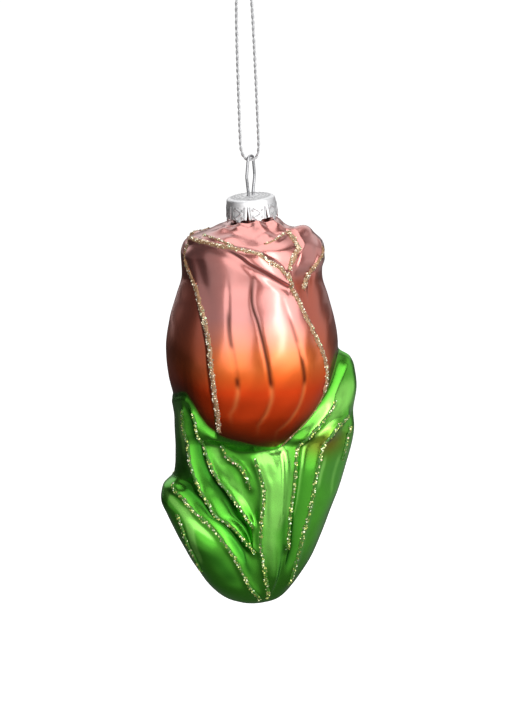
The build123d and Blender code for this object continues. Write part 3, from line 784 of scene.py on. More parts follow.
class Glass:
    """The drawn surface of the blown glass, in millimetres."""

    def __init__(self, settings):
        for name in GlassSettings.__annotations__:
            value = getattr(settings, name)
            if isinstance(value, float):
                setattr(self, name, value / MM)

    def petals(self, angle, height, radius):
        """Raised front petal, rolled lip, veins and side petals, measured out from the plain bud."""
        across = on_petal(angle, height, radius, self.petal_edge)
        rim = height_on(PETAL_RIM, angle)
        below_rim = rim - height
        petal = step(below_rim / self.petal_edge)
        lip_width = rim - height_on(LIP_EDGE, angle)
        share = np.clip(below_rim / lip_width, 0, 1)
        lip = share ** LIP_CURVE * step((lip_width - below_rim) / LIP_SOFT)
        lip = lip * np.clip(lip_width / LIP_FULL, LIP_LEAST, 1)
        under = ridge((below_rim - lip_width - UNDERCUT_DROP) / UNDERCUT_WIDTH)
        under = under * np.clip(lip_width / LIP_FULL, 0, 1)
        hollow = stroke(PETAL_HOLLOW, angle, height, radius, HOLLOW_WIDTH, LINE_SOFT)
        grooves = sum(stroke(vein, angle, height, radius, self.vein_width, LINE_SOFT) for vein in VEINS)
        side = step(right_of(SIDE_FOLD, angle, height, radius) / self.petal_edge)
        side = side * step((height - SIDE_START) / SIDE_SOFT)
        above_lip = height - height_on(SIDE_LIP, angle)
        roll = ridge((above_lip - ROLL_RISE) / ROLL_WIDTH) - ridge((above_lip + GUTTER_DROP) / GUTTER_WIDTH)
        roll = roll * step((angle - ROLL_START) / ROLL_SOFT)
        parting = ridge((angle - PARTING_MIDDLE) / PARTING_WIDTH)
        parting = parting * step((height - PARTING_START) / SIDE_SOFT)
        folds = sum(ridge((height - height_on(line, angle)) / FOLD_WIDTH) * ridge((angle - middle) / wide)
                    for line, middle, wide in INNER_FOLDS)
        lumps = sum(lump(row, angle, height) for row in SHOULDER_LUMPS)
        front = self.petal_step * petal + self.lip_roll * lip
        front = front - UNDERCUT_DEPTH * under - HOLLOW_DEPTH * hollow
        upper = SIDE_STEP * side - PARTING_DEPTH * parting + FOLD_HEIGHT * folds
        upper = upper * step((SIDE_END - height) / SIDE_SOFT)
        return front * across - self.vein_depth * grooves + SIDE_ROLL * roll + upper + lumps

    def leaves(self, angle, height):
        """Radius of the leaves, with their tips, ridges and pleats."""
        depth = smooth(CUP_DEPTH, height)
        reach = np.where(angle < 0, smooth(CUP_LEFT, height), smooth(CUP_RIGHT, height))
        power = np.where(angle < 0, smooth(LEFT_SHARPNESS, height), smooth(RIGHT_SHARPNESS, height))
        cup = depth + (reach - depth) * np.abs(np.sin(np.radians(angle))) ** power
        for line in RIDGES:
            cup = cup + self.ridge_height * stroke(line, angle, height, cup, self.ridge_width, RIDGE_SOFT)
        for line in STEM_RIBS:
            cup = cup + RIB_HEIGHT * stroke(line, angle, height, cup, RIB_WIDTH, RIB_SOFT)
        return cup + pleated(angle, height)[0]

    def points(self, angle, height):
        """Points of the glass at angles from the front and heights up the side."""
        front = folded(angle)
        turn = np.radians(angle)
        radius = smooth(BUD_RADIUS, height)
        outward = smooth(BUD_LEVEL, height + PROBE) - smooth(BUD_LEVEL, height - PROBE)
        upward = smooth(BUD_RADIUS, height - PROBE) - smooth(BUD_RADIUS, height + PROBE)
        upward = np.where(height > BELLY, upward, 0)
        relief = self.petals(front, height, radius) / np.hypot(outward, upward)
        below_neck = NECK_START - NECK_FADE - height
        at_back = (1 - step(2 * np.cos(turn))) * step((height - SHOULDER) / BACK_FADE)
        relief = relief * step(below_neck / NECK_FADE) * (1 - BACK_CALM * at_back)
        bud = np.where(height < BUD_START, 0, radius + relief * outward)
        cup = self.leaves(front, height)
        higher = (bud + cup + np.sqrt((bud - cup) ** 2 + LEAF_MERGE ** 2)) / 2
        covered = np.where(height < BUD_START, 1, step(inside_leaf(front, height) / COVER_SOFT))
        out = bud + (higher - bud) * covered
        uneven = waves(polar(out, turn, height)) * step((NECK_START - WAVE_FADE - height) / WAVE_FADE)
        out = out + self.waviness * uneven
        behind = step((height - BACK_START) / BACK_FADE) * step(below_neck / BACK_FADE - 1)
        level = smooth(BUD_LEVEL, height) + relief * upward - BACK_DROP * behind * (1 - np.cos(turn)) / 2
        x, z = lean(out * np.sin(turn), level)
        return np.stack([x, -out * np.cos(turn), z], axis=-1)


def lean(x, z):
    """Tip the neck over to the left, from the shoulder up."""
    share = step(2 * (z - LEAN_START) / LEAN_BLEND - 1)
    turn = np.radians(NECK_LEAN) * share
    rise = z - LEAN_START
    leaning_x = x * np.cos(turn) - rise * np.sin(turn) + NECK_OFFSET * share
    leaning_z = LEAN_START + x * np.sin(turn) + rise * np.cos(turn)
    return leaning_x, leaning_z


def neck_frame(height):
    """Place on the neck's axis at a height above the tip, with Z along the axis."""
    tipped = Matrix.Rotation(math.radians(-NECK_LEAN), 4, "Y")
    start = Matrix.Translation((NECK_OFFSET, 0, LEAN_START))
    return start @ tipped @ Matrix.Translation((0, 0, height - LEAN_START))


PIVOT = neck_frame(CAP_TOP).translation + Vector((0, 0, EYE_HEIGHT - (WIRE + CORD) / 2 - REST_GAP))
HANG = (Matrix.Translation((0, 0, -LOOP_DROP)) @ Matrix.Rotation(math.radians(HANG_TILT), 4, "Y")
        @ Matrix.Translation(-PIVOT))


def placed(matrix, points):
    """Points in millimetres brought through a matrix."""
    rows = np.array(matrix)
    return np.asarray(points) @ rows[:3, :3].T + rows[:3, 3]


def hung(points):
    """Points of the upright drawing brought to their place under the cord, in metres."""
    return placed(HANG, points) * MM


def grid_faces(rows, columns, wrap):
    """Faces of a grid of points, row by row, closed around if wrap is true."""
    row = np.arange(rows - 1)[:, None]
    column = np.arange(columns if wrap else columns - 1)[None, :]
    start = row * columns + column
    end = row * columns + (column + 1) % columns
    return np.stack([start, end, end + columns, start + columns], axis=-1).reshape(-1, 4)


def joined(parts):
    """Several sets of points and faces as one."""
    points = []
    faces = []
    count = 0
    for part_points, part_faces in parts:
        points.append(part_points)
        faces += [[index + count for index in face] for face in part_faces]
        count += len(part_points)
    return np.concatenate(points), faces


def add_piece(name, points, faces, material, body, node, stored=None):
    """Make a mesh piece in the place of a node, give it its finish and let it ride on its body."""
    mesh = bpy.data.meshes.new(name)
    mesh.from_pydata(np.asarray(points).tolist(), [], [list(face) for face in faces])
    for key, values in (stored or {}).items():
        attribute = mesh.attributes.new(key, "FLOAT", "POINT")
        attribute.data.foreach_set("value", np.asarray(values, np.float32))
    mesh.shade_smooth()
    mesh.materials.append(material)
    piece = bpy.data.objects.new(name, mesh)
    bpy.context.scene.collection.objects.link(piece)
    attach(piece, body)
    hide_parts(node)
    return piece


def lacquered_glass(settings):
    """Silvered glass under rose to copper lacquer on the petals and green on the leaves, with painted shade
    and painted highlights in the lacquer's colour.
    """
    material, start = new_finish("lacquered_glass")
    place = start.place()
    cloud = place.noise(CLOUD_SCALE, 3.0)
    runs = place.stretched((1.0, 1.0, 0.12)).noise(RUN_SCALE)
    brushed = place.stretched((1.0, 1.0, 0.3)).noise(BRUSH_SCALE, 3.0)
    leaf = start.stored("leaf")
    pearl = start.stored("pearl")
    vein = start.stored("vein")
    rise = start.stored("rise") + 0.03 * (cloud - 0.5)
    stops = [(0.6, settings.copper), (0.66, settings.peach), (0.7, settings.peach), (0.785, settings.rose)]
    petal = start.node("ShaderNodeValToRGB", {"stops": stops}, {0: rise})
    # painted shade: off the front petal and below the shoulder the lacquer darkens towards russet
    petal = (0.8 * (1 - pearl) * rise.between(0.58, 0.7)).mix(petal, settings.russet_shade)
    # painted shade along the veins on the upper petals, darker where each vein's row sets it dark
    petal = (0.9 * vein).mix(petal, VEIN_SHADE_BROWN)
    # painted highlight: the veins' lower arcs are lightened to bright orange
    petal = (0.5 * start.stored("arc")).mix(petal, ARC_HIGHLIGHT_ORANGE)
    # painted shade: the petals darken to umber towards the leaves' edge
    petal = (0.9 * start.stored("foot")).mix(petal, settings.umber)
    # painted highlight on the stem, crests and light strokes, mixed with brushed streaks of paler lacquer
    pale_and_highlit = (start.stored("crest") + 0.9 * (brushed - 0.5)).between(0.1, 0.9)
    green = pale_and_highlit.mix(settings.leaf, settings.leaf_pale_and_highlight)
    # painted shade: the leaves darken in the pleats' hollows and along the dark strokes
    green = start.stored("shade").mix(green, settings.leaf_shade)
    green = start.stored("bronze").mix(green, settings.bronze)
    # painted shade: the colour darkens towards black in the crease where the leaves' edge meets the petals
    colour = (0.35 * start.stored("crevice")).mix(leaf.mix(petal, green), CREASE_SHADE_BLACK)
    rough = 0.29 + 0.06 * (runs - 0.5) - 0.04 * leaf
    gloss = 0.05 + 0.85 * rise.between(0.63, 0.76) * (0.3 + 0.7 * pearl)
    coat = gloss * (1 - 0.8 * leaf) * (1 - 0.8 * vein)
    peel = place.noise(PEEL_SCALE) + 0.5 * runs
    surface(start, {
        "Base Color": colour, "Metallic": 1.0, "Roughness": rough, "Normal": peel.bump(0.12, 0.0001),
        "Coat Weight": coat, "Coat Roughness": 0.2, "Coat IOR": 2.2})
    return material


def lacquer_marks(front, height, level):
    """Where each tone of the lacquer lies, and where shade and highlights are painted into it, as values
    that the glass holds at its points.
    """
    inside = inside_leaf(front, height)
    leaf = np.where(height < BUD_START, 1, step((inside + LEAF_OVERLAP) / LEAF_SOFT))
    stem = ridge((front - STEM_MIDDLE) / STEM_HALF_TURN) * step((height - STEM_FOOT) / STEM_FADE)
    ribs = sum(stroke(line, front, height, STEM_RADIUS, RIB_HIGHLIGHT_WIDTH, LINE_SOFT) for line in STEM_RIBS)
    midrib = stroke(RIGHT_MIDRIB, front, height, LEAF_TIP_RADIUS, MIDRIB_WIDTH, RIB_SOFT)
    # painted highlight on the stem, its ribs and the midrib
    crest = STEM_HIGHLIGHT * stem + ribs + MIDRIB_HIGHLIGHT * midrib
    shade = pleated(front, height)[1]
    # light strokes add painted highlight and dark strokes add painted shade
    for line, turn, lift, wide, low, high, tone in STROKES:
        mark = ridge(distance(shifted(line, turn, lift), front, height, LEAF_RADIUS) / wide)
        mark = mark * window(height, low, high, STROKE_SOFT)
        crest = crest + max(tone, 0) * mark
        shade = shade + max(-tone, 0) * mark
    veins = [stroke(line, front, height, PETAL_RADIUS, VEIN_STROKE, VEIN_SOFT) for line in VEINS]
    dark = sum(mark * smooth(tones, height) for mark, tones in zip(veins, VEIN_SHADE_TONES))
    upper = step((height - VEIN_FOOT) / VEIN_FOOT_SOFT)
    on_top = step((height - np.where(front > 0, PEARL_RIGHT, PEARL_LEFT)) / PEARL_SOFT)
    return {
        "leaf": leaf,
        "rise": level / 100,
        # painted highlight on the leaves
        "crest": crest,
        "bronze": lump(BRONZE_SPOT, front, height),
        # painted shade in the crease above the leaves' edge
        "crevice": ridge((inside + CREASE_SHADE_DROP) / CREASE_SHADE_WIDTH),
        # painted shade along the veins above their lower arcs
        "vein": dark * upper,
        # painted highlight on the veins' lower arcs
        "arc": sum(veins) * (1 - upper),
        # painted shade on the petals' foot above the leaves
        "foot": np.where(inside < 0, ridge(inside / FOOT_SHADE_HEIGHT), 1),
        # painted shade on the leaves
        "shade": np.clip(shade, 0, SHADE_MOST),
        "pearl": np.maximum(on_petal(front, height, PETAL_RADIUS, PEARL_EDGE), on_top)}


class TULIP_OT_blow_glass(Operator):
    """Blow the glass: petals, leaves and open neck in one shell"""
    bl_idname = "tulip.blow_glass"
    bl_label = "Blow Glass"

    def execute(self, context):
        settings = context.scene.tulip_glass
        columns = settings.columns
        turns = np.linspace(0, 360, columns, endpoint=False)
        tip = TIP_HEIGHT * np.linspace(0, 1, TIP_ROWS) ** 2
        side = np.linspace(TIP_HEIGHT, SHOULDER, SIDE_ROWS)[1:]
        top = np.linspace(SHOULDER, NECK_START, SHOULDER_ROWS)[1:]
        heights = np.concatenate([tip, side, top])
        angle, height = [grid.ravel() for grid in np.meshgrid(turns, heights)]
        outer = Glass(settings).points(angle, height)
        rings = [outer]
        for radius, level in LINING:
            ring = polar(radius, np.radians(turns), level)
            rings.append(placed(neck_frame(0), ring) if level > LEAN_START else ring)
        ends = [[0, 0, 0], [0, 0, WELL_HEIGHT]]
        points = np.concatenate([*rings, ends])
        rows = len(heights) + len(LINING)
        around = np.arange(columns)
        following = (around + 1) % columns
        last = (rows - 1) * columns
        floor = [(rows * columns, b, a) for a, b in zip(around, following)]
        well = [(rows * columns + 1, last + a, last + b) for a, b in zip(around, following)]
        faces = grid_faces(rows, columns, True).tolist() + floor + well
        marks = lacquer_marks(folded(angle), height, outer[:, 2])
        bare = np.zeros(len(points) - len(outer))
        stored = {name: np.concatenate([values, bare]) for name, values in marks.items()}
        stored["rise"][len(outer):] = LINING_RISE
        add_piece("glass_tulip", hung(points), faces, lacquered_glass(settings), "glass", "glass_body",
                  stored)
        return {"FINISHED"}


def flake_finish(name, colour, glue):
    """Bright flakes of several tints over their glue."""
    material, start = new_finish(name)
    flake = start.stored("flake")
    stops = [
        (0.0, toned(colour, 0.45)), (0.35, colour), (0.7, toned(colour, 0.7, 0.3)),
        (0.86, toned(colour, 0.4, 0.6)), (0.93, FLAKE_GREEN), (1.0, FLAKE_PINK)]
    bright = start.node("ShaderNodeValToRGB", {"stops": stops}, {0: start.stored("tint")})
    grain = start.place().noise(GLUE_SCALE)
    matte = grain.mix(toned(glue, 0.6), toned(glue, 1.5))
    surface(start, {
        "Base Color": flake.mix(matte, bright), "Metallic": 0.25 + 0.6 * flake,
        "Roughness": 0.32 - 0.1 * flake + 0.1 * grain, "Normal": grain.bump(0.6, 0.0001)})
    return material


class Trail:
    """One line of glitter on the front of the glass, or the like one on its back."""

    def __init__(self, glass, line, height, back):
        marks = np.arange(len(line))
        fine = np.linspace(0, len(line) - 1, TRAIL_FINENESS * len(line))
        angle, level = [smooth(list(zip(marks, column)), fine) for column in zip(*line)]
        self.glass = glass
        self.angle = 180 - angle if back else angle
        self.level = level
        self.height = height
        self.run = run_along(glass.points(self.angle, level))
        self.length = self.run[-1]

    def at(self, along):
        """Angle and height on the glass at a distance along the line."""
        return np.interp(along, self.run, self.angle), np.interp(along, self.run, self.level)

    def spots(self, along, across):
        """Points on the glass beside the line, and the ways out of the glass and across the line there."""
        points = self.glass.points
        angle, level = self.at(along)
        forward = points(*self.at(along + TRAIL_LOOK)) - points(*self.at(along - TRAIL_LOOK))
        by_angle = points(angle + PROBE, level) - points(angle - PROBE, level)
        by_level = points(angle, level + PROBE) - points(angle, level - PROBE)
        outward = unit_rows(np.cross(by_angle, by_level))
        sideways = unit_rows(np.cross(forward, outward))
        ways = np.stack([by_angle, by_level], axis=1)
        shares = np.linalg.solve(ways @ ways.transpose(0, 2, 1), ways @ sideways[:, :, None])
        turn, lift = shares[:, :, 0].T
        return points(angle + across * turn, level + across * lift), outward, sideways

    def swell(self, along, across, half):
        """Height of the glue over the glass."""
        share = np.clip(1 - (across / half) ** 2, 0, 1)
        ends = np.clip(np.minimum(along, self.length - along) / TRAIL_END, 0, 1)
        return self.height * np.sqrt(share * ends * (2 - ends))


def glue_bead(trail, width, seed, chance):
    """Uneven bead of glue: its points, faces, stations and half widths."""
    rows = max(GLUE_LEAST_ROWS, round(trail.length / GLUE_STEP))
    stations = np.linspace(0, trail.length, rows)
    uneven = GLUE_MEAN + GLUE_SWAY * np.sin(stations * GLUE_BEAT + seed)
    uneven = uneven + GLUE_ROUGH * chance.standard_normal(rows)
    half = width / 2 * uneven.clip(*GLUE_RANGE)
    along = np.repeat(stations, GLUE_COLUMNS)
    wide = np.repeat(half, GLUE_COLUMNS)
    across = np.tile(np.linspace(-1, 1, GLUE_COLUMNS), rows) * wide
    spot, outward = trail.spots(along, across)[:2]
    lumpy = 1 + GLUE_LUMPS * chance.standard_normal(len(along))
    points = spot + outward * (trail.swell(along, across, wide) * lumpy - GLUE_SINK)[:, None]
    return points, grid_faces(rows, GLUE_COLUMNS, False)[:, ::-1].tolist(), stations, half


def loose_flakes(trail, stations, half, size, density, chance):
    """Six-sided flakes strewn over a bead, each a low cone on its own rim."""
    count = round(trail.length * density)
    along = chance.uniform(0, trail.length, count)
    reach = np.interp(along, stations, half)
    across = reach * chance.uniform(-FLAKE_SPREAD, FLAKE_SPREAD, count)
    spot, outward, sideways = trail.spots(along, across)
    radius = size * chance.uniform(*FLAKE_RANGE, count) / 2
    tilt = FLAKE_TILT * chance.standard_normal((count, 2))
    forward = np.cross(outward, sideways)
    normal = unit_rows(outward + tilt[:, :1] * sideways + tilt[:, 1:] * forward)
    first = unit_rows(np.cross(normal, forward))
    second = np.cross(normal, first)
    middle = spot + outward * (trail.swell(along, across, reach) + FLAKE_LIFT)[:, None]
    corner = np.arange(FLAKE_SIDES)
    turns = corner * 2 * math.pi / FLAKE_SIDES + chance.uniform(0, 1, (count, 1))
    rim = (middle[:, None] + radius[:, None, None]
           * (np.cos(turns)[..., None] * first[:, None] + np.sin(turns)[..., None] * second[:, None]))
    top = middle + normal * (FLAKE_CONE * radius)[:, None]
    fans = np.stack([corner, (corner + 1) % FLAKE_SIDES, np.full(FLAKE_SIDES, FLAKE_SIDES)], axis=1)
    faces = (fans[None] + FLAKE_POINTS * np.arange(count)[:, None, None]).reshape(-1, 3)
    return np.concatenate([rim, top[:, None]], axis=1).reshape(-1, 3), faces.tolist()


def lay_trails(context, trails, material, width, size, density, first_seed):
    """Lay trails on the front and the back of the glass: beads of glue, and flakes strewn over them."""
    glass = Glass(context.scene.tulip_glass)
    full_height = context.scene.tulip_glitter.height / MM
    for seed, (node, runs) in enumerate(trails.items(), first_seed):
        chance = np.random.default_rng(seed)
        parts = []
        flake = []
        tint = []
        for line, share, back in [(line, share, back) for line, share in runs for back in (False, True)]:
            height = full_height * (TRAIL_LEAST + (1 - TRAIL_LEAST) * share)
            trail = Trail(glass, line, height, back)
            points, faces, stations, half = glue_bead(trail, width / MM * share, seed, chance)
            flakes, flake_faces = loose_flakes(trail, stations, half, size / MM, density * share, chance)
            tints = chance.uniform(0, 1, len(flakes) // FLAKE_POINTS)
            parts += [(points, faces), (flakes, flake_faces)]
            flake += [np.zeros(len(points)), np.ones(len(flakes))]
            tint += [np.zeros(len(points)), np.repeat(tints, FLAKE_POINTS)]
        points, faces = joined(parts)
        stored = {"flake": np.concatenate(flake), "tint": np.concatenate(tint)}
        name = node.replace("glitter", "flakes")
        add_piece(name, hung(points), faces, material, "glass", node, stored)


class TULIP_OT_lay_petal_glitter(Operator):
    """Lay the gold trails along the edges of the petals"""
    bl_idname = "tulip.lay_petal_glitter"
    bl_label = "Lay Petal Glitter"

    def execute(self, context):
        look = context.scene.tulip_glitter
        finish = flake_finish("gold_glitter", look.gold, look.gold_glue)
        lay_trails(context, PETAL_TRAILS, finish, look.petal_width, look.petal_flake,
                   look.petal_flakes, PETAL_SEED)
        return {"FINISHED"}


class TULIP_OT_lay_leaf_glitter(Operator):
    """Lay the green gold trails along the ridges of the leaves"""
    bl_idname = "tulip.lay_leaf_glitter"
    bl_label = "Lay Leaf Glitter"

    def execute(self, context):
        look = context.scene.tulip_glitter
        finish = flake_finish("green_glitter", look.lime, look.lime_glue)
        lay_trails(context, LEAF_TRAILS, finish, look.leaf_width, look.leaf_flake,
                   look.leaf_flakes, LEAF_SEED)
        return {"FINISHED"}


def bright_metal(name, colour, roughness, grain_scale):
    """Bright metal with fine drawn or rolled marks, and painted shade along the flanks of stamped lines."""
    material, start = new_finish(name)
    marks = start.place().noise(grain_scale, 3.0)
    stamp = start.stored("stamp")
    # painted shade on the flanks of the stamped ornament, mixed with the metal's own grain marks
    line = (4 * stamp * (1 - stamp)).clamped()
    shade = (0.25 * marks + 0.75 * line).clamped().mix(colour, toned(colour, 0.5))
    surface(start, {
        "Base Color": shade, "Metallic": 1.0, "Roughness": roughness + 0.12 * (marks - 0.5),
        "Normal": marks.bump(0.15, 0.00004)})
    return material


def tab_stamp(across, level):
    """Stamped ornament of a tab: a border, a scroll and dots."""
    scroll = SCROLL_REACH * np.sin(2 * math.pi * (level + SCROLL_SHIFT) / SCROLL_PITCH)
    line = ridge((across - scroll) / SCROLL_WIDTH) * step((SCROLL_END - np.abs(level)) / SCROLL_SOFT)
    border = ridge((np.abs(across) - BORDER_OUT) / BORDER_WIDTH)
    dots = sum(ridge(np.hypot(across - x, level - z) / DOT_RADIUS) for x, z in DOTS)
    return np.clip(line + BORDER_STAMP * border + dots, 0, STAMP_MOST)


def skirt_radius(level):
    """Radius of the cap's flared skirt at a level below its top."""
    slope = CAP_FLARE / (CAP_SKIRT + CAP_POINT - CAP_ROUNDING)
    return CAP_RADIUS + slope * (-CAP_ROUNDING - level)


def cap_dome(emboss):
    """Domed top and rounded shoulder of the cap: points, faces and how far each point is stamped."""
    columns = CAP_TABS * TAB_COLUMNS
    flat = CAP_RADIUS - CAP_ROUNDING
    turns = np.radians(SLIT_START + np.arange(columns) * 360 / columns)
    rows = []
    for radius in np.linspace(CAP_MIDDLE, flat, DOME_ROWS):
        stamp = sum(ridge((radius - ring) / RING_WIDTH) for ring in PLAIN_RINGS)
        for ring, count in PIP_RINGS:
            beside = np.sin(count * turns / 2) * ring * 2 / count
            stamp = stamp + ridge((radius - ring) / PIP_LENGTH) * ridge(beside / PIP_WIDTH)
        stamp = np.clip(stamp, 0, 1)
        rows.append((radius, CAP_DOME * (1 - (radius / flat) ** 2) + emboss * stamp, stamp))
    for turn in np.radians(np.linspace(ROUNDING_START, 90, ROUNDING_ROWS)):
        rows.append((flat + CAP_ROUNDING * math.sin(turn), -CAP_ROUNDING * (1 - math.cos(turn)), 0))
    for level in np.linspace(-CAP_ROUNDING - COLLAR_DROP, -SLIT_TOP, COLLAR_ROWS):
        rows.append((skirt_radius(level), level, 0))
    points = np.concatenate([polar(radius, turns, level) for radius, level, stamp in rows])
    stamps = np.concatenate([np.broadcast_to(stamp, columns) for radius, level, stamp in rows])
    return points, grid_faces(len(rows), columns, True)[:, ::-1].tolist(), stamps


def cap_tab(number, emboss):
    """One pointed tab of the cap's skirt: points, faces and how far each point is stamped."""
    half_tab = math.pi / CAP_TABS
    grids = np.meshgrid(np.linspace(-1, 1, TAB_COLUMNS + 1), np.linspace(0, 1, TAB_ROWS))
    share, drop = [grid.ravel() for grid in grids]
    across = share * half_tab * CAP_RADIUS
    point = CAP_POINT * np.clip(1 - np.abs(across) / (CAP_POINT_WIDTH / 2), 0, 1) ** CAP_POINT_CURVE
    level = -SLIT_TOP - drop * (CAP_SKIRT + point - SLIT_TOP)
    radius = skirt_radius(level)
    slit = SLIT_WIDTH / 2 * np.clip((-level - SLIT_TOP) / (CAP_SKIRT - SLIT_TOP), 0, 1)
    middle = math.radians(SLIT_START) + (2 * number + 1) * half_tab
    turn = middle + share * (half_tab - slit / radius)
    stamp = tab_stamp(across, level + (SLIT_TOP + CAP_SKIRT) / 2 + STAMP_DROP)
    stamp = stamp * window(drop, STAMP_TOP, STAMP_END, STAMP_SOFT)
    bend = TAB_BEND * math.sin(BEND_BEAT * number + BEND_START)
    radius = radius + emboss * stamp + bend * drop
    return polar(radius, turn, level), grid_faces(TAB_ROWS, TAB_COLUMNS + 1, False)[:, ::-1].tolist(), stamp


def sheet_metal(points, faces, stamps):
    """The cap's surface welded, pierced for the wire and given its thickness, with its stamp."""
    sheet = bmesh.new()
    layer = sheet.verts.layers.float.new("stamp")
    verts = [sheet.verts.new(point) for point in points]
    for vert, value in zip(verts, stamps):
        vert[layer] = value
    for face in faces:
        sheet.faces.new([verts[index] for index in face])
    bmesh.ops.remove_doubles(sheet, verts=sheet.verts, dist=WELD)
    open_edges = [edge for edge in sheet.edges if edge.is_boundary]
    middle = [edge for edge in open_edges if edge.verts[0].co.xy.length < CAP_FILL]
    bmesh.ops.holes_fill(sheet, edges=middle, sides=0)
    along = HOLE_SPACING / 2 * Vector((math.cos(math.radians(EYE_TURN)), math.sin(math.radians(EYE_TURN))))
    pierced = []
    for face in sheet.faces:
        centre = face.calc_center_median()
        if centre.z > 0 and min((centre.xy - hole).length for hole in (-along, along)) < HOLE_RADIUS:
            pierced.append(face)
    bmesh.ops.delete(sheet, geom=pierced, context="FACES")
    bmesh.ops.recalc_face_normals(sheet, faces=sheet.faces)
    bmesh.ops.solidify(sheet, geom=sheet.faces[:], thickness=SHOWN_SHEET)
    sheet.verts.index_update()
    points = np.array([vert.co for vert in sheet.verts])
    faces = sorted([vert.index for vert in face.verts] for face in sheet.faces)
    stamps = [vert[layer] for vert in sheet.verts]
    sheet.free()
    return points, faces, stamps


class TULIP_OT_stamp_cap(Operator):
    """Stamp the crown cap and finish the wire"""
    bl_idname = "tulip.stamp_cap"
    bl_label = "Stamp Cap"

    def execute(self, context):
        settings = context.scene.tulip_cap
        emboss = settings.emboss / MM
        parts = [cap_dome(emboss)] + [cap_tab(number, emboss) for number in range(CAP_TABS)]
        points, faces = joined(part[:2] for part in parts)
        points, faces, stamps = sheet_metal(points, faces, np.concatenate([part[2] for part in parts]))
        metal = bright_metal("cap_aluminium", settings.aluminium, roughness=0.46, grain_scale=1500.0)
        add_piece("stamped_cap", hung(placed(neck_frame(CAP_TOP), points)), faces, metal, "hanger",
                  "crown_cap", {"stamp": stamps})
        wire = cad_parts["wire_hanger"]
        drawn = bright_metal("hanger_wire", settings.steel, roughness=0.16, grain_scale=2200.0)
        wire.data.materials.clear()
        wire.data.materials.append(drawn)
        return {"FINISHED"}


def tube_along(path, radius, sides):
    """Points and faces of a round tube along a path of points."""
    forward = unit_rows(np.gradient(path, axis=0))
    side = np.cross(forward[0], ASIDE)
    turns = np.arange(sides) * 2 * math.pi / sides
    rings = []
    for here, ahead in zip(path, forward):
        side = side - ahead * (side @ ahead)
        side = side / np.linalg.norm(side)
        over = np.cross(ahead, side)
        rings.append(here + radius * (np.outer(np.cos(turns), side) + np.outer(np.sin(turns), over)))
    last = (len(path) - 1) * sides
    ends = [list(range(sides))[::-1], [last + index for index in range(sides)]]
    return np.concatenate(rings), grid_faces(len(path), sides, True).tolist() + ends


def twisted(path, lay, start=0.0):
    """Two plies twisted about a path."""
    run = run_along(path)
    even = np.linspace(0, run[-1], max(PLY_LEAST_STEPS, round(run[-1] / PLY_STEP)))
    path = np.stack([np.interp(even, run, path[:, axis]) for axis in range(3)], axis=-1)
    forward = unit_rows(np.gradient(path, axis=0))
    side = unit_rows(np.cross(forward, (0.0, 1.0, 0.0)))
    over = np.cross(forward, side)
    plies = []
    for ply in (0, math.pi):
        turn = 2 * math.pi * even / lay + ply + start
        centre = path + PLY_OFFSET * (np.cos(turn)[:, None] * side + np.sin(turn)[:, None] * over)
        plies.append(tube_along(centre, PLY_RADIUS, PLY_SIDES))
    return joined(plies)


def metallic_thread(settings):
    """Silver thread whose fine filaments catch the light."""
    material, start = new_finish("silver_cord")
    fibre = start.place().stretched((1.0, 1.0, 0.3), (0.0, 0.5, 0.0)).noise(FIBRE_SCALE)
    shade = fibre.mix(toned(settings.silver, 0.3), toned(settings.silver, 1.25))
    surface(start, {
        "Base Color": shade, "Metallic": 0.85, "Roughness": 0.25 + 0.25 * fibre,
        "Normal": fibre.bump(0.6, 0.00006)})
    return material


def cord_path(context):
    """Points of the cord's centre line, read from its smooth route."""
    curve = bpy.data.curves.new("cord_route", "CURVE")
    curve.dimensions = "3D"
    curve.resolution_u = CORD_STEPS
    spline = curve.splines.new("NURBS")
    spline.points.add(len(CORD_ROUTE) - 1)
    for point, (across, level) in zip(spline.points, CORD_ROUTE):
        point.co = (across, 0.0, level - LOOP_DROP, 1.0)
    spline.order_u = 3
    spline.use_endpoint_u = True
    guide = bpy.data.objects.new("cord_route", curve)
    context.scene.collection.objects.link(guide)
    context.view_layer.update()
    traced = bpy.data.meshes.new_from_object(guide)
    path = np.array([vert.co for vert in traced.vertices])
    bpy.data.objects.remove(guide)
    bpy.data.meshes.remove(traced)
    return path


def knot_strands(lay):
    """Twisted strands of the knot: its wrap, its two tails and the two runs of the loop inside it."""
    turns = np.linspace(0, KNOT_TURNS * 2 * math.pi, KNOT_POINTS)
    narrowed = KNOT_RADIUS * (1 - KNOT_TAPER * np.abs(np.linspace(-1, 1, KNOT_POINTS)) ** 3)
    rise = KNOT_START + KNOT_PITCH * turns / (2 * math.pi)
    wrap = np.stack([narrowed * np.cos(turns), narrowed * np.sin(turns), rise], axis=-1)
    strands = [twisted(wrap, lay)]
    share = np.linspace(0, 1, TAIL_POINTS)
    reach = TAIL_LENGTH * share
    for side in (-1, 1):
        spread = TAIL_APART + TAIL_SPREAD * reach + TAIL_BOW * np.sin(TAIL_BOW_BEAT * share)
        sway = TAIL_SWAY * np.sin(TAIL_SWAY_BEAT * share)
        tail = np.stack([side * spread, side * sway, TAIL_START + TAIL_RISE * reach], axis=-1)
        strands.append(twisted(tail, lay, side))
        inner = side * (STRAND_APART - STRAND_CLOSING * share)
        run = np.stack([inner, 0 * share, STRAND_START + STRAND_RISE * share], axis=-1)
        strands.append(twisted(run, lay))
    return strands


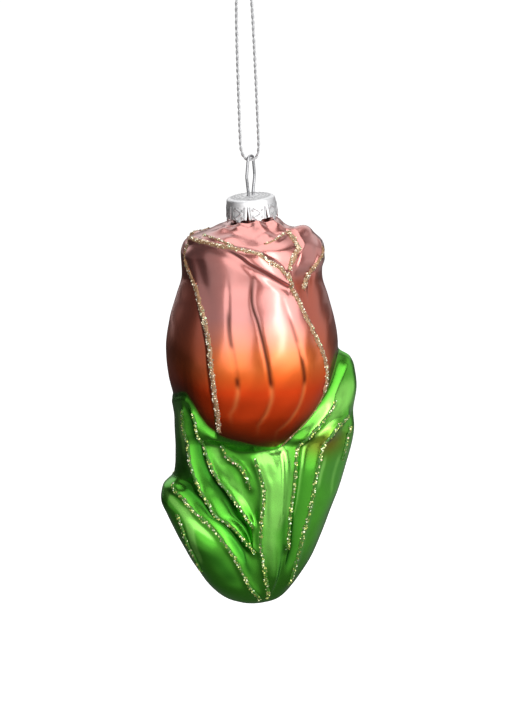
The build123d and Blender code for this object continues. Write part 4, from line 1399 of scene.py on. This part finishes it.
class TULIP_OT_tie_cord(Operator):
    """Twist the cord, hang it through the wire eye and knot its ends"""
    bl_idname = "tulip.tie_cord"
    bl_label = "Tie Cord"

    def execute(self, context):
        settings = context.scene.tulip_cord
        lay = settings.lay / MM
        thread = metallic_thread(settings)
        path = cord_path(context)
        points, faces = twisted(path, lay)
        cord = add_piece("silver_cord", points * MM, faces, thread, "cord", "hanging_cord")
        points, faces = joined(knot_strands(lay))
        knot = add_piece("tied_knot", points * MM, faces, thread, "cord", "cord_knot")
        return {"FINISHED"}


def softbox(name, azimuth, elevation, away, width, height, radiance, target):
    """A soft panel of light, turned to the ornament."""
    lamp = bpy.data.lights.new(name, "AREA")
    lamp.shape = "RECTANGLE"
    lamp.size = width
    lamp.size_y = height
    lamp.energy = radiance * math.pi * width * height
    panel = bpy.data.objects.new(name, lamp)
    panel.visible_camera = False
    turn, lift = math.radians(azimuth), math.radians(elevation)
    outward = Vector((math.sin(turn) * math.cos(lift), -math.cos(turn) * math.cos(lift), math.sin(lift)))
    panel.location = target + away * outward
    panel.rotation_euler = outward.to_track_quat("Z", "Y").to_euler()
    bpy.context.scene.collection.objects.link(panel)


def seen_or_mirrored(start, behind):
    """1 for what the camera sees, and for what metal and glass mirror from behind the ornament."""
    seen, glossy, through = [
        start.node("ShaderNodeLightPath", None, None, ray)
        for ray in ("Is Camera Ray", "Is Glossy Ray", "Is Transmission Ray")]
    return (seen + (glossy + through) * behind).clamped()


def aim_camera(scene, settings):
    """Camera at the photograph's height angle and frame."""
    lift = settings.elevation
    away = settings.distance / MM
    target = Vector((AIM_ACROSS, 0.0, AIM_HEIGHT / math.cos(lift)))
    outward = Vector((0.0, -math.cos(lift), math.sin(lift)))
    eye = bpy.data.cameras.new("camera")
    eye.sensor_width = SENSOR
    eye.lens = SENSOR * away / FRAME_HEIGHT
    eye.clip_start = 0.01
    eye.clip_end = 20.0
    camera = bpy.data.objects.new("camera", eye)
    scene.collection.objects.link(camera)
    turned = HANG.to_3x3() @ Matrix.Rotation(math.pi / 2 - lift, 3, "X")
    place = MM * (HANG @ (target + away * outward))
    camera.matrix_world = Matrix.Translation(place) @ turned.to_4x4()
    scene.camera = camera


def lay_floor(scene, colour, level):
    """Pale floor that the camera sees white, and that throws less light back on the ornament."""
    mesh = bpy.data.meshes.new("floor")
    corners = [(x * FLOOR_HALF, y * FLOOR_HALF, level) for x, y in ((-1, -1), (1, -1), (1, 1), (-1, 1))]
    mesh.from_pydata(corners, [], [(0, 1, 2, 3)])
    floor = bpy.data.objects.new("floor", mesh)
    scene.collection.objects.link(floor)
    material, start = new_finish("pale_floor")
    place = start.place()
    depth = place.part("Y")
    across = place.part("X")
    seen = seen_or_mirrored(start, depth.between(2.0, 2.8))
    front = (-1 * depth).between(0.1, 0.4) + across.between(0.15, 0.4)
    near = front.clamped().mix(FLOOR_DARK, FLOOR_GREY)
    matte = start.node("ShaderNodeBsdfDiffuse", None, {"Color": seen.mix(near, colour)})
    clear = (across * across + depth * depth).between(0.05, 0.6)
    glow = (0.5 + 0.45 * clear) * seen
    white = start.node("ShaderNodeEmission", None, {"Color": solid(WHITE), "Strength": glow})
    lit = start.node("ShaderNodeAddShader", None, {0: matte, 1: white})
    start.node("ShaderNodeOutputMaterial", None, {"Surface": lit})
    mesh.materials.append(material)


def whiten_surroundings(scene):
    """White world to the camera, and a low even light on the ornament."""
    world = bpy.data.worlds.new("surroundings")
    world.use_nodes = True
    world.node_tree.nodes.clear()
    scene.world = world
    start = Tap(world.node_tree)
    direction = start.node("ShaderNodeTexCoord", None, None, "Generated")
    behind = direction.part("Y").between(0.45, 0.8) * direction.part("Z").between(0.02, 0.2)
    level = 0.1 + 0.9 * seen_or_mirrored(start, behind)
    light = start.node("ShaderNodeBackground", None, {"Color": solid(WHITE), "Strength": level})
    start.node("ShaderNodeOutputWorld", None, {"Surface": light})


class TULIP_OT_set_stage(Operator):
    """Set the camera, the soft panels, the pale floor and the white surroundings"""
    bl_idname = "tulip.set_stage"
    bl_label = "Set Stage"

    def execute(self, context):
        scene = context.scene
        settings = scene.tulip_stage
        scene.view_settings.view_transform = "Standard"
        aim_camera(scene, settings)
        centre = MM * (HANG @ Vector((0, 0, MIDDLE_HEIGHT)))
        for *placing, share in LAMPS:
            softbox(*placing, share * settings.softbox, centre)
        lay_floor(scene, settings.floor, centre.z - FLOOR_DROP)
        whiten_surroundings(scene)
        return {"FINISHED"}


class TULIP_PT_maker(Panel):
    """Makes the ornament's pieces one by one"""
    bl_label = "Glass Tulip"
    bl_idname = "TULIP_PT_maker"
    bl_space_type = "VIEW_3D"
    bl_region_type = "UI"
    bl_category = "Tulip"

    def draw(self, context):
        for name, group, operators in STEPS:
            box = self.layout.box()
            settings = getattr(context.scene, name)
            for key in group.__annotations__:
                box.prop(settings, key)
            for operator in operators:
                box.operator(operator.bl_idname)


STEPS = [
    ("tulip_stage", StageSettings, [TULIP_OT_set_stage]),
    ("tulip_cord", CordSettings, [TULIP_OT_tie_cord]),
    ("tulip_cap", CapSettings, [TULIP_OT_stamp_cap]),
    ("tulip_glass", GlassSettings, [TULIP_OT_blow_glass]),
    ("tulip_glitter", GlitterSettings, [TULIP_OT_lay_petal_glitter, TULIP_OT_lay_leaf_glitter])]
CLASSES = [group for name, group, operators in STEPS]
CLASSES += [operator for name, group, operators in STEPS for operator in operators]
CLASSES.append(TULIP_PT_maker)


def register():
    for cls in CLASSES:
        bpy.utils.register_class(cls)
    for name, group, operators in STEPS:
        setattr(bpy.types.Scene, name, PointerProperty(type=group))


def unregister():
    for name, group, operators in STEPS:
        delattr(bpy.types.Scene, name)
    for cls in reversed(CLASSES):
        bpy.utils.unregister_class(cls)


def main():
    register()
    bpy.ops.tulip.set_stage()
    bpy.ops.tulip.tie_cord()
    bpy.ops.tulip.stamp_cap()
    bpy.ops.tulip.blow_glass()
    bpy.ops.tulip.lay_petal_glitter()
    bpy.ops.tulip.lay_leaf_glitter()


if __name__ == "__main__":
    main()
